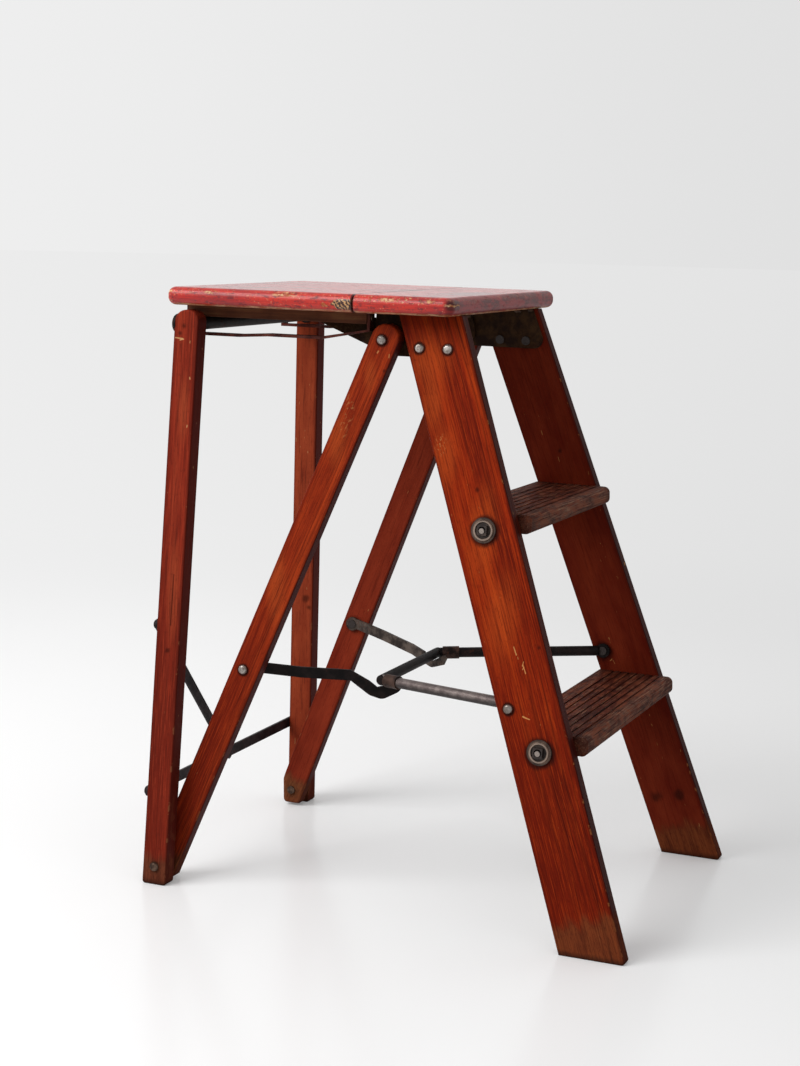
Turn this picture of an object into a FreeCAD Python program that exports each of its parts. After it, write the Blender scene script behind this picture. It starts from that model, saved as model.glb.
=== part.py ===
import FreeCAD, Part
import Sketcher
import math
import os
import re

from FreeCAD import Placement, Rotation, Vector

# Folding step stool: a splayed front ladder frame with two treads, a seat in
# two boards, and a rear frame of two braces and two upright legs.
# Millimetres. +Z is up, the treads face -Y, and the floor is Z = 0.
# Every "out" size is the distance from the middle plane to an outer face.

sizes = {
    # seat boards
    "seat_top": 610.0,
    "board_thick": 18.0,
    "seat_width": 304.0,
    "seat_front": -55.5,
    "seat_joint": 48.0,
    "seat_back": 252.0,
    "board_gap": 1.2,
    "seat_corner": 10.0,
    "board_round": 8.0,
    "joint_round": 1.5,
    # front stiles, measured level: thick across, deep fore and aft
    "stile_thick": 15.0,
    "stile_deep": 66.0,
    "stile_top_mid": -19.4,
    "stile_foot_mid": -228.4,
    "stile_top_in": 34.5,
    "stile_foot_out": 185.7,
    "stile_toe_round": 3.0,
    "wood_round": 1.8,
    # treads and the rods that tie the stiles under them
    "tread_deep": 81.5,
    "tread_thick": 18.0,
    "lower_tread_top": 203.0,
    "upper_tread_top": 406.5,
    "tread_nose": 6.0,
    "tread_fit": 0.15,
    "groove_wide": 2.4,
    "groove_depth": 1.3,
    "groove_pitch": 8.6,
    "groove_count": 7,
    "groove_start": 12.0,
    "rod_rad": 3.2,
    "rod_cover": -0.6,
    "rod_fit": 0.1,
    "rod_end": 6.4,
    "washer_rad": 12.4,
    "washer_high": 2.8,
    "nut_wide": 9.6,
    "nut_high": 4.6,
    # main pivot and the plates at the top
    "main_y": 28.0,
    "main_drop": 26.0,
    "plate_thick": 2.4,
    "plate_inset": 4.4,
    "plate_back": 43.0,
    "plate_drop": 42.0,
    "plate_flange": 18.0,
    "plate_corner": 10.0,
    "rivet_drop": 32.0,
    "rivet_first_y": -11.2,
    "rivet_second_y": -40.4,
    "plate_screw_front": -34.0,
    "plate_screw_back": 22.0,
    "plate_screw_in": 9.0,
    # braces from the main pivot down to the rear feet
    "brace_thick": 15.0,
    "brace_deep": 31.8,
    "brace_gap": 3.5,
    "brace_foot_out": 157.5,
    "brace_above": 15.5,
    "brace_foot": 3.5,
    "brace_heel": 12.4,
    "brace_top_mid": 25.4,
    "brace_top_full": 0.985,
    "brace_heel_round": 7.0,
    # rear legs
    "leg_thick": 18.5,
    "leg_deep": 27.0,
    "leg_top_mid": 228.5,
    "leg_foot_mid": 244.2,
    "leg_top_gap": 8.9,
    "leg_foot_gap": 4.3,
    "leg_top_clear": 4.5,
    "leg_foot_round": 3.2,
    "leg_top_round": 12.4,
    "foot_y": 243.5,
    "foot_z": 19.0,
    # cleats, guides and hinge plates below the rear board
    "cleat_gap": 2.1,
    "cleat_thick": 15.0,
    "cleat_deep": 12.0,
    "cleat_back": 244.6,
    "guide_wide": 12.0,
    "guide_thick": 2.8,
    "guide_drop": 16.3,
    "guide_hump": 2.0,
    "guide_hump_front": 98.0,
    "guide_hump_back": 156.0,
    "guide_flat_y": 188.0,
    "guide_front_drop": 5.7,
    "axle_y": 229.0,
    "axle_rad": 6.6,
    "axle_fit": 0.3,
    "axle_end": 8.0,
    "collar_rad": 9.0,
    "collar_thick": 3.0,
    "collar_gap": 1.5,
    "axle_bolt_rad": 10.0,
    "axle_bolt_high": 4.6,
    "axle_bolt_sunk": 1.0,
    "axle_bolt_deep": 4.0,
    "hinge_thick": 2.4,
    "hinge_lobe": 12.0,
    "hinge_reach": 56.0,
    "hinge_step": 4.5,
    # rivets and screws
    "pin_rad": 3.0,
    "pin_fit": 0.08,
    "head_rad": 4.8,
    "head_high": 3.0,
    "burr_rad": 4.6,
    "burr_high": 1.4,
    "screw_rad": 3.6,
    "screw_high": 1.6,
    "screw_deep": 7.0,
    "screw_hole": 1.7,
    "spacer_rad": 7.0,
    "pivot_washer_thick": 1.4,
    "pivot_washer_rad": 8.0,
    # iron brace across the back of the rear legs
    "bar_z": 95.0,
    "bar_wide": 11.0,
    "bar_thick": 2.6,
    "bar_end_in": 1.5,
    "bar_gap": 0.25,
    "strut_top_z": 268.0,
    "bolt_rad": 4.8,
    "bolt_high": 2.6,
    "bolt_in": 7.5,
    # spreader between the braces and the stiles
    "arm_behind": 2.75,
    "arm_z": 227.8,
    "arm_thick": 3.0,
    "arm_deep": 11.0,
    "arm_droop": 11.5,
    "arm_gap": 0.9,
    "eye_rad": 7.5,
    "bail_behind": 20.97,
    "bail_z": 225.0,
    "bail_rad": 5.4,
    "lug_thick": 3.4,
    "lug_gap": 1.45,
    "cross_y": 39.0,
    "cross_z": 217.4,
    "cross_rad": 5.4,
    "cross_half": 75.0,
    "hook_inset": 8.0,
    "hook_rise": 26.5,
    "hook_sag": 4.5,
    "hook_fit": 0.35,
    "sleeve_rad": 6.8,
    "sleeve_long": 18.0,
    "sleeve_back": 6.0,
}

# Places that follow from the sizes, so that neighbours keep their gaps
derived = {
    "main_z": "=seat_top - board_thick - main_drop",
    "plate_low": "=seat_top - board_thick - plate_drop",
    "rivet_high": "=seat_top - board_thick - rivet_drop",
    "leg_top": "=seat_top - board_thick - leg_top_clear",
    "stile_top_out": "=seat_width / 2 - stile_top_in",
    "cleat_in": "=stile_top_out - stile_thick - cleat_gap",
    "brace_top_out": "=stile_top_out - stile_thick + brace_gap + brace_thick",
    "leg_top_out": "=brace_top_out + leg_top_gap + leg_thick",
    "leg_foot_out": "=brace_foot_out + leg_foot_gap + leg_thick",
    "brace_rise": "=main_z - foot_z",
    "brace_run": "=foot_y - brace_top_mid",
    "brace_top_round": "=brace_top_full * brace_deep / 2 * brace_rise"
                       " / sqrt(brace_rise * brace_rise + brace_run * brace_run)",
    "arm_y": "=foot_y - brace_run * (arm_z - foot_z) / brace_rise + arm_behind",
    "bail_y": "=stile_foot_mid + (stile_top_mid - stile_foot_mid) * bail_z"
              " / (seat_top - board_thick) + bail_behind",
}

doc = FreeCAD.newDocument("step_stool")
sheet = doc.addObject("Spreadsheet::Sheet", "dims")
cells = dict(sizes)
cells.update(derived)
for row, (name, value) in enumerate(cells.items(), start=1):
    sheet.set("A%d" % row, name)
    sheet.set("B%d" % row, str(value))
    sheet.setAlias("B%d" % row, name)
doc.recompute()

subparts = []


def bound(text):
    """The same sum with each size's name pointed at the sheet."""
    def pointed(match):
        word = match.group(0)
        return "dims." + word if word in cells else word
    return re.sub(r"[a-z_]+", pointed, str(text))


def number(text):
    """What a sum of sizes comes to now."""
    value = sheet.evalExpression(bound(text))
    return float(getattr(value, "Value", value))


# Sums that several pieces share. Heights along a splayed piece are measured
# from the floor to the underside of the seat.
under_seat = "(seat_top - board_thick)"
cleat_low = "(%s - cleat_deep)" % under_seat
axle_z = "(%s - axle_fit - axle_rad)" % cleat_low


def along(foot, top, z):
    """A size that runs straight from its foot value to its top value."""
    return "(%s + (%s - %s) * (%s) / %s)" % (foot, top, foot, z, under_seat)


hinge_start = "(seat_joint + board_gap + joint_round)"
end_screw_z = "(%s - cleat_deep / 2)" % under_seat
hinge_screw_ys = ["(%s + hinge_reach * %s)" % (hinge_start, share) for share in (0.3, 0.8)]


def stile_out(z):
    return along("stile_foot_out", "stile_top_out", z)


def stile_in(z):
    return "(%s - stile_thick)" % stile_out(z)


def stile_mid(z):
    return along("stile_foot_mid", "stile_top_mid", z)


def leg_out(z):
    return along("leg_foot_out", "leg_top_out", z)


def leg_in(z):
    return "(%s - leg_thick)" % leg_out(z)


def leg_mid(z):
    return along("leg_foot_mid", "leg_top_mid", z)


def brace_out(z):
    return along("brace_foot_out", "brace_top_out", z)


def brace_in(z):
    return "(%s - brace_thick)" % brace_out(z)


def brace_mid(z):
    return "(foot_y - brace_run * (%s - foot_z) / brace_rise)" % z


def signed(side, text):
    """The sum on the left (-1) or the right (1) of the middle plane."""
    return "(%d * (%s))" % (side, text)


def named(word, side):
    return "%s_%s" % (word, "left" if side < 0 else "right")


# Building blocks

def new_body(label, listed=True):
    body = doc.addObject("PartDesign::Body", label)
    body.Label = label
    if listed:
        subparts.append(body)
    return body


def new_sketch(body, role, offset="0", turn=None):
    """A sketch on one of the body's own planes, moved along its normal."""
    sketch = body.newObject("Sketcher::SketchObject", body.Label + "_sketch")
    plane = [item for item in body.Origin.OriginFeatures if item.Role == role][0]
    sketch.AttachmentSupport = (plane, "")
    sketch.MapMode = "FlatFace"
    toward = "-" if role == "XZ_Plane" else ""
    if turn is not None:
        sketch.AttachmentOffset = Placement(Vector(0, 0, 0), Rotation(Vector(0, 1, 0), turn))
    sketch.setExpression("AttachmentOffset.Base.z", bound("%s(%s)" % (toward, offset)))
    return sketch


def place_point(sketch, piece, spot, across, up):
    for kind, text in (("DistanceX", across), ("DistanceY", up)):
        rule = Sketcher.Constraint(kind, -1, 1, piece, spot, number(text))
        index = sketch.addConstraint(rule)
        sketch.setExpression("Constraints[%d]" % index, bound(text))


def polygon(sketch, corners):
    """A closed outline of straight lines, each corner held by the sizes."""
    first = sketch.GeometryCount
    points = [Vector(number(across), number(up), 0) for across, up in corners]
    count = len(points)
    for i in range(count):
        sketch.addGeometry(Part.LineSegment(points[i], points[(i + 1) % count]), False)
    for i in range(count):
        following = first + (i + 1) % count
        sketch.addConstraint(Sketcher.Constraint("Coincident", first + i, 2, following, 1))
    for i, (across, up) in enumerate(corners):
        place_point(sketch, first + i, 1, across, up)


def circle(sketch, across, up, radius):
    centre = Vector(number(across), number(up), 0)
    ring = Part.Circle(centre, Vector(0, 0, 1), number(radius))
    index = sketch.addGeometry(ring, False)
    place_point(sketch, index, 3, across, up)
    rule = sketch.addConstraint(Sketcher.Constraint("Radius", index, number(radius)))
    sketch.setExpression("Constraints[%d]" % rule, bound(radius))


def add_pad(body, sketch, length, both_ways=False, reverse=False):
    pad = body.newObject("PartDesign::Pad", body.Label + "_pad")
    pad.Profile = sketch
    pad.setExpression("Length", bound(length))
    pad.SideType = "Symmetric" if both_ways else "One side"
    pad.Reversed = reverse
    return pad


def add_bore(body, sketch):
    """Cuts the sketch right through the body, both ways from its plane."""
    pocket = body.newObject("PartDesign::Pocket", body.Label + "_bore")
    pocket.Profile = sketch
    pocket.Type = "ThroughAll"
    pocket.SideType = "Symmetric"
    return pocket


def add_fillet(body, radius, wanted):
    """Rounds the edges that the test function picks."""
    doc.recompute()
    last = body.Tip
    edges = last.Shape.Edges
    names = ["Edge%d" % (i + 1) for i, edge in enumerate(edges) if wanted(edge)]
    if not names:
        raise RuntimeError("no edges to round on " + body.Label)
    fillet = body.newObject("PartDesign::Fillet", body.Label + "_round")
    fillet.Base = (last, names)
    fillet.setExpression("Radius", bound(radius))
    return fillet


def spans(edge):
    box = edge.BoundBox
    return box.XLength, box.YLength, box.ZLength


def near(a, b):
    return abs(a - b) < 0.01


def bores(body, holes, role="YZ_Plane"):
    """Round holes through a piece along X, or along another plane's normal."""
    sketch = new_sketch(body, role)
    for across, up, radius in holes:
        circle(sketch, across, up, radius)
    return add_bore(body, sketch)


def rivet_bores(body, side, tilt):
    """Holes for the bracket rivets, square to the splayed stile."""
    for y in ("rivet_first_y", "rivet_second_y"):
        sketch = new_sketch(body, "YZ_Plane", signed(side, stile_out("rivet_high")))
        turn = Rotation(Vector(1, 0, 0), -side * tilt)
        offset = sketch.AttachmentOffset.Base
        sketch.AttachmentOffset = Placement(offset, turn)
        sketch.setExpression("AttachmentOffset.Base.x", bound(y))
        sketch.setExpression("AttachmentOffset.Base.y", bound("rivet_high"))
        circle(sketch, "0", "0", "pin_rad + pin_fit")
        add_bore(body, sketch)


# Planks

def plank(label, side, thick, deep, low, high, out, mid):
    """A board that leans and splays, cut level at both ends."""
    body = new_body(label)
    sketch = new_sketch(body, "XY_Plane", low)
    outer = signed(side, out(low))
    inner = signed(side, "%s - %s" % (out(low), thick))
    front = "%s - %s / 2" % (mid(low), deep)
    back = "%s + %s / 2" % (mid(low), deep)
    polygon(sketch, [(outer, front), (inner, front), (inner, back), (outer, back)])
    rise = "(%s - %s)" % (high, low)
    pad = add_pad(body, sketch, rise)
    pad.UseCustomVector = True
    pad.Direction = Vector(0, 0, 1)
    splay = signed(side, "(%s - %s) / %s" % (out(high), out(low), rise))
    lean = "(%s - %s) / %s" % (mid(high), mid(low), rise)
    pad.setExpression("Direction.x", bound(splay))
    pad.setExpression("Direction.y", bound(lean))
    return body


def round_ends(body, radius, pick):
    """Rounds the level edges of an end that lie across the plank."""
    add_fillet(body, radius, lambda edge: near(spans(edge)[1], 0) and pick(edge.BoundBox))


def round_long(body):
    tall = body.Shape.BoundBox.ZLength / 2
    add_fillet(body, "wood_round", lambda edge: spans(edge)[2] > tall)


def tread_rod_z(top):
    return "(%s - tread_thick + rod_cover + rod_rad)" % top


def make_stile(side):
    body = plank(named("front_stile", side), side, "stile_thick", "stile_deep",
                 "0", under_seat, stile_out, stile_mid)
    toe_y = number("%s - stile_deep / 2" % stile_mid("0"))
    round_ends(body, "stile_toe_round",
               lambda box: near(box.ZMax, 0) and near(box.YMin, toe_y))
    doc.recompute()
    round_long(body)
    holes = [("bail_y", "bail_z", "pin_rad + pin_fit")]
    for top in ("lower_tread_top", "upper_tread_top"):
        rod_z = tread_rod_z(top)
        holes.append((stile_mid(rod_z), rod_z, "rod_rad + rod_fit"))
    bores(body, holes)
    rivet_bores(body, side, stile_tilt)


def make_brace(side):
    high = "(main_z + brace_above)"
    body = plank(named("rear_brace", side), side, "brace_thick", "brace_deep",
                 "brace_foot", high, brace_out, brace_mid)
    top = number(high)
    heel = number("brace_foot")
    heel_y = number("foot_y + brace_heel")
    # the heel is cut off upright so that it stays inside the leg's rear face
    cut = new_sketch(body, "YZ_Plane")
    behind, high_cut = "foot_y + brace_heel", "3 * brace_deep"
    polygon(cut, [(behind, "-brace_deep"), ("foot_y + 2 * brace_deep", "-brace_deep"),
                  ("foot_y + 2 * brace_deep", high_cut), (behind, high_cut)])
    add_bore(body, cut)
    round_ends(body, "brace_top_round", lambda box: near(box.ZMin, top))
    round_ends(body, "brace_heel_round",
               lambda box: near(box.ZMin, heel) and near(box.YMax, heel_y))
    doc.recompute()
    round_long(body)
    bores(body, [("main_y", "main_z", "pin_rad + pin_fit"),
                 ("arm_y", "arm_z", "pin_rad + pin_fit"),
                 ("foot_y", "foot_z", "pin_rad + pin_fit")])


def make_leg(side):
    body = plank(named("rear_leg", side), side, "leg_thick", "leg_deep",
                 "0", "leg_top", leg_out, leg_mid)
    top = number("leg_top")
    round_ends(body, "leg_top_round", lambda box: near(box.ZMin, top))
    round_ends(body, "leg_foot_round", lambda box: near(box.ZMax, 0))
    doc.recompute()
    round_long(body)
    bores(body, [("foot_y", "foot_z", "pin_rad + pin_fit")])
    # a blind bore for the axle, open on the inner face only
    sketch = new_sketch(body, "YZ_Plane", "0")
    circle(sketch, "axle_y", axle_z, "axle_rad + pin_fit")
    pocket = body.newObject("PartDesign::Pocket", body.Label + "_axle_bore")
    pocket.Profile = sketch
    pocket.setExpression("Length", bound("%s + axle_end + pin_fit" % leg_in(axle_z)))
    pocket.Reversed = side > 0


# Seat

def make_board(label, front, back, joint):
    """A seat board, full round outside and barely eased at the joint."""
    body = new_body(label)
    sketch = new_sketch(body, "XY_Plane", under_seat)
    left, right = "-seat_width / 2", "seat_width / 2"
    polygon(sketch, [(left, front), (right, front), (right, back), (left, back)])
    add_pad(body, sketch, "board_thick")
    joint_y = number(joint)
    add_fillet(body, "seat_corner",
               lambda edge: spans(edge)[2] > 1 and not near(edge.BoundBox.YMax, joint_y))

    def outer(edge):
        across, along_y, tall = spans(edge)
        on_joint = near(along_y, 0) and near(edge.BoundBox.YMax, joint_y)
        return near(tall, 0) and not on_joint
    add_fillet(body, "board_round", outer)
    add_fillet(body, "joint_round",
               lambda edge: near(edge.BoundBox.YMin, joint_y) and near(spans(edge)[1], 0)
               and near(spans(edge)[2], 0))


def make_boards():
    make_board("seat_front_board", "seat_front", "seat_joint - board_gap / 2",
               "seat_joint - board_gap / 2")
    make_board("seat_rear_board", "seat_joint + board_gap / 2", "seat_back",
               "seat_joint + board_gap / 2")


def make_cleat(side):
    """The batten under the rear board that bears on the axle."""
    body = new_body(named("seat_cleat", side))
    sketch = new_sketch(body, "XY_Plane", cleat_low)
    inner = signed(side, "cleat_in")
    outer = signed(side, "cleat_in + cleat_thick")
    front, back = "seat_joint", "cleat_back"
    polygon(sketch, [(inner, front), (outer, front), (outer, back), (inner, back)])
    add_pad(body, sketch, "cleat_deep")
    low = number(cleat_low)
    add_fillet(body, "wood_round / 2",
               lambda edge: near(edge.BoundBox.ZMax, low))


def make_guide(side):
    """The bent strap under a cleat that the axle slides along."""
    body = new_body(named("axle_guide", side))
    middle = signed(side, "cleat_in + cleat_thick / 2")
    sketch = new_sketch(body, "YZ_Plane", middle)
    shelf = "(%s - guide_drop)" % cleat_low
    hump = "(%s + guide_hump)" % shelf
    front_low = "(%s - guide_front_drop)" % cleat_low
    top = "%s - joint_round" % under_seat
    upper = [("seat_joint", top), ("seat_joint", front_low),
             ("guide_hump_front", hump), ("guide_hump_back", hump),
             ("guide_flat_y", shelf), ("cleat_back", shelf), ("cleat_back", top)]
    lower = [("cleat_back + guide_thick", top),
             ("cleat_back + guide_thick", "%s - guide_thick" % shelf),
             ("guide_flat_y", "%s - guide_thick" % shelf),
             ("guide_hump_back", "%s - guide_thick" % hump),
             ("guide_hump_front", "%s - guide_thick" % hump),
             ("seat_joint - guide_thick", "%s - guide_thick / 2" % front_low),
             ("seat_joint - guide_thick", top)]
    polygon(sketch, upper + lower)
    add_pad(body, sketch, "guide_wide", both_ways=True)
    bores(body, [(middle, end_screw_z, "screw_hole")], "XZ_Plane")


def make_hinge_plate(side):
    """The plate that hangs the rear board on the main pivot."""
    body = new_body(named("seat_hinge_plate", side))
    middle = signed(side, "cleat_in - hinge_thick / 2")
    sketch = new_sketch(body, "YZ_Plane", middle)
    top = "%s - joint_round" % under_seat
    start = hinge_start
    end = "%s + hinge_reach" % start
    polygon(sketch, [
        ("main_y - hinge_lobe", "main_z - hinge_lobe / 2"),
        ("main_y - hinge_lobe / 2", "main_z - hinge_lobe"),
        ("main_y + hinge_lobe", "main_z - hinge_lobe"),
        (end, cleat_low),
        (end, top),
        (start, top),
        (start, "%s - hinge_step" % top),
        ("main_y - hinge_lobe / 2", "%s - hinge_step" % top),
        ("main_y - hinge_lobe", "main_z + hinge_lobe / 2"),
    ])
    add_pad(body, sketch, "hinge_thick", both_ways=True)
    add_fillet(body, "plate_thick / 2", lambda edge: spans(edge)[0] > 1)
    holes = [("main_y", "main_z", "pin_rad + pin_fit")]
    for y in hinge_screw_ys:
        holes.append((y, end_screw_z, "screw_hole"))
    bores(body, holes)


# Top brackets

def plate_front(z):
    """The bracket's front edge keeps its inset from the leaning stile."""
    return "(%s - stile_deep / 2 + plate_inset)" % stile_mid(z)


def make_bracket(side):
    """A bent plate: its web lies on the stile, its flange under the seat."""
    body = new_body(named("top_bracket", side))
    foremost = "(%s - plate_thick)" % plate_front("plate_low")
    sketch = new_sketch(body, "XZ_Plane", "(%s + plate_back) / 2" % foremost)
    fold = "%s - plate_thick" % under_seat

    def at(out, z):
        return signed(side, out), z
    polygon(sketch, [
        at("%s - plate_flange" % stile_in(under_seat), under_seat),
        at(stile_in(under_seat), under_seat),
        at(stile_in("plate_low"), "plate_low"),
        at("%s - plate_thick" % stile_in("plate_low"), "plate_low"),
        at("%s - plate_thick" % stile_in(fold), fold),
        at("%s - plate_flange" % stile_in(under_seat), fold),
    ])
    add_pad(body, sketch, "plate_back - %s" % foremost, both_ways=True)
    cut = new_sketch(body, "YZ_Plane")
    below, above = "plate_low - plate_drop", "%s + plate_drop" % under_seat
    polygon(cut, [(plate_front(below), below), (plate_front(above), above),
                  (foremost + " - plate_drop", above), (foremost + " - plate_drop", below)])
    add_bore(body, cut)
    low = number("plate_low")
    add_fillet(body, "plate_corner",
               lambda edge: near(edge.BoundBox.ZMax, low) and near(spans(edge)[1], 0))
    bores(body, [("main_y", "main_z", "pin_rad + pin_fit")])
    rivet_bores(body, side, stile_tilt)
    screw_x = signed(side, "%s - plate_flange + plate_screw_in" % stile_in(under_seat))
    bores(body, [(screw_x, "plate_screw_front", "screw_hole"),
                 (screw_x, "plate_screw_back", "screw_hole")], "XY_Plane")


# Treads

def make_tread(label, top):
    """A grooved tread between the stiles, its ends cut to their splay."""
    body = new_body(label)
    low = "(%s - tread_thick)" % top
    middle = "(%s + stile_deep / 2 - tread_deep / 2)" % stile_mid(top)
    sketch = new_sketch(body, "XZ_Plane", middle)
    wide_low = "(%s - tread_fit)" % stile_in(low)
    wide_top = "(%s - tread_fit)" % stile_in(top)
    polygon(sketch, [("-" + wide_low, low), (wide_low, low),
                     (wide_top, top), ("-" + wide_top, top)])
    add_pad(body, sketch, "tread_deep", both_ways=True)
    front = number("%s - tread_deep / 2" % middle)
    add_fillet(body, "tread_nose",
               lambda edge: near(edge.BoundBox.YMax, front) and near(spans(edge)[2], 0))
    rod_z = tread_rod_z(top)
    bores(body, [(stile_mid(rod_z), rod_z, "rod_rad + rod_fit")])
    groove = new_sketch(body, "YZ_Plane")
    start = "(%s - tread_deep / 2 + groove_start)" % middle
    floor = "(%s - groove_depth)" % top
    high = "(%s + groove_depth)" % top
    polygon(groove, [(start, floor), (start + " + groove_wide", floor),
                     (start + " + groove_wide", high), (start, high)])
    pocket = add_bore(body, groove)
    rows = body.newObject("PartDesign::LinearPattern", label + "_grooves")
    rows.Originals = [pocket]
    axis = [item for item in body.Origin.OriginFeatures if item.Role == "Y_Axis"][0]
    rows.Direction = (axis, [""])
    rows.setExpression("Length", bound("groove_pitch * (groove_count - 1)"))
    rows.setExpression("Occurrences", bound("groove_count"))
    body.Tip = rows


# Turned and round pieces

def face_angle(foot, top):
    """How far a splayed face is turned about Y, in degrees."""
    run = number(foot) - number(top)
    return math.degrees(math.atan2(run, number(under_seat)))


stile_tilt = face_angle("stile_foot_out", "stile_top_out")


def point_out(side, x, y, z, tilt=0.0):
    """A placement whose +Z points out of the stool's side, along X."""
    turn = Rotation(Vector(0, 1, 0), side * (90.0 - tilt))
    return Placement(Vector(side * x, y, z), turn)


def disc(body, low, high, radius, hole=None, ease=None):
    """A flat round layer between two heights on the body's own Z."""
    sketch = new_sketch(body, "XY_Plane", low)
    circle(sketch, "0", "0", radius)
    if hole:
        circle(sketch, "0", "0", hole)
    add_pad(body, sketch, "(%s) - (%s)" % (high, low))
    if ease:
        rim = number(radius)
        crown = number(high)
        add_fillet(body, ease, lambda edge: near(edge.BoundBox.ZMin, crown)
                   and near(spans(edge)[0], 2 * rim))


def rivet(label, length, placement, listed=True):
    """A domed head at Z = 0, a shank below it and a burr at its far end."""
    body = new_body(label, listed)
    disc(body, "0", "head_high", "head_rad", ease="head_high * 0.9")
    disc(body, "-(%s) - burr_high" % length, "0", "pin_rad")
    disc(body, "-(%s) - burr_high" % length, "-(%s)" % length, "burr_rad")
    body.Placement = placement
    return body


def screw(label, placement, head="screw_rad", crown="screw_high", deep="screw_deep"):
    """A round headed screw whose shank goes into the wood."""
    body = new_body(label, False)
    disc(body, "0", crown, head, ease=crown + " * 0.8")
    disc(body, "-(%s)" % deep, "0", "pin_rad / 2")
    body.Placement = placement
    return body


def group(label, members):
    """Identical fasteners kept together as separate solids."""
    compound = doc.addObject("Part::Compound", label)
    compound.Label = label
    compound.Links = members
    subparts.append(compound)


def make_bracket_rivets():
    members = []
    for side in (-1, 1):
        for y in ("rivet_first_y", "rivet_second_y"):
            x = number(stile_out("rivet_high"))
            spot = point_out(side, x, number(y), number("rivet_high"), stile_tilt)
            length = "(stile_thick + plate_thick) * %.6f" % math.cos(math.radians(stile_tilt))
            members.append(rivet("bracket_rivet", length, spot, False))
    group("bracket_rivets", members)


def make_bracket_screws():
    """Screws up through the bracket flanges into the front board."""
    members = []
    x = number("%s - plate_flange + plate_screw_in" % stile_in(under_seat))
    z = number("%s - plate_thick" % under_seat)
    for side in (-1, 1):
        for y in ("plate_screw_front", "plate_screw_back"):
            spot = Placement(Vector(side * x, number(y), z), Rotation(Vector(1, 0, 0), 180))
            members.append(screw("bracket_screw", spot))
    group("bracket_screws", members)


def make_tie_rod(label, top):
    rod_z = tread_rod_z(top)
    body = new_body(label)
    sketch = new_sketch(body, "YZ_Plane")
    circle(sketch, stile_mid(rod_z), rod_z, "rod_rad")
    length = "2 * (%s + rod_end)" % stile_out(rod_z)
    add_pad(body, sketch, length, both_ways=True)
    reach = number(length) / 2
    add_fillet(body, "rod_rad / 3",
               lambda edge: near(abs(edge.BoundBox.XMin), reach) and near(spans(edge)[0], 0))


def make_rod_fittings():
    """Dished washers and square nuts on both ends of both tie rods."""
    washers, nuts = [], []
    loose = "rod_rad + 6 * rod_fit"
    for top in ("lower_tread_top", "upper_tread_top"):
        rod_z = tread_rod_z(top)
        x = number(stile_out(rod_z))
        y = number(stile_mid(rod_z))
        z = number(rod_z)
        for side in (-1, 1):
            washer = new_body("tie_washer", False)
            disc(washer, "0", "washer_high / 2", "washer_rad", loose)
            sketch = new_sketch(washer, "XY_Plane", "washer_high / 2")
            circle(sketch, "0", "0", "washer_rad * 0.84")
            circle(sketch, "0", "0", "washer_rad * 0.62")
            add_pad(washer, sketch, "washer_high / 2")
            crown = number("washer_high")
            add_fillet(washer, "washer_high / 4",
                       lambda edge: near(edge.BoundBox.ZMin, crown))
            washer.Placement = point_out(side, x, y, z, stile_tilt)
            washers.append(washer)

            nut = new_body("tie_nut", False)
            sketch = new_sketch(nut, "XY_Plane", "washer_high / 2")
            half = "nut_wide / 2"
            polygon(sketch, [("-" + half, "-" + half), (half, "-" + half),
                             (half, half), ("-" + half, half)])
            circle(sketch, "0", "0", loose)
            add_pad(nut, sketch, "nut_high")
            add_fillet(nut, "nut_wide / 10", lambda edge: near(spans(edge)[0], 0)
                       and near(spans(edge)[1], 0))
            nut.Placement = point_out(side, x, y, z, stile_tilt)
            nuts.append(nut)
    group("tie_rod_washers", washers)
    group("tie_rod_nuts", nuts)


def make_pivots(side):
    """Rivets that the braces, legs and spreader turn on."""
    sit = "head_rad / 16"
    main_head = "%s + %s" % (brace_out("main_z"), sit)
    rivet(named("main_pivot", side), "%s - (cleat_in - hinge_thick)" % main_head,
          point_out(side, number(main_head), number("main_y"), number("main_z")))
    foot_head = "%s + %s" % (leg_out("foot_z"), sit)
    rivet(named("foot_pivot", side), "%s - %s + %s" % (foot_head, brace_in("foot_z"), sit),
          point_out(side, number(foot_head), number("foot_y"), number("foot_z")))
    arm_head = "%s + %s" % (brace_out("arm_z"), sit)
    rivet(named("arm_pivot", side), "%s - %s" % (arm_head, arm_inner()),
          point_out(side, number(arm_head), number("arm_y"), number("arm_z")))
    bail_head = "%s + 2 * %s" % (stile_out("bail_z"), sit)
    rivet(named("bail_pivot", side), "%s - %s" % (bail_head, lug_inner()),
          point_out(side, number(bail_head), number("bail_y"), number("bail_z")))


def make_spacers():
    """Washers that fill the gap between each leg and its brace."""
    members = []
    for side in (-1, 1):
        body = new_body("foot_spacer", False)
        gap = "(%s - %s)" % (leg_in("foot_z"), brace_out("foot_z"))
        disc(body, "0", "%s - spacer_rad / 6" % gap, "spacer_rad", "pin_rad + pin_fit")
        x = number("%s + spacer_rad / 12" % brace_out("foot_z"))
        body.Placement = point_out(side, x, number("foot_y"), number("foot_z"))
        members.append(body)
    group("foot_spacers", members)


def make_pivot_washers():
    """Washers on the main pivots between hinge plate and bracket."""
    members = []
    for side in (-1, 1):
        body = new_body("pivot_washer", False)
        disc(body, "0", "pivot_washer_thick", "pivot_washer_rad", "pin_rad + pin_fit")
        x = number("cleat_in + pin_fit")
        body.Placement = point_out(side, x, number("main_y"), number("main_z"))
        members.append(body)
    group("pivot_washers", members)


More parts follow.
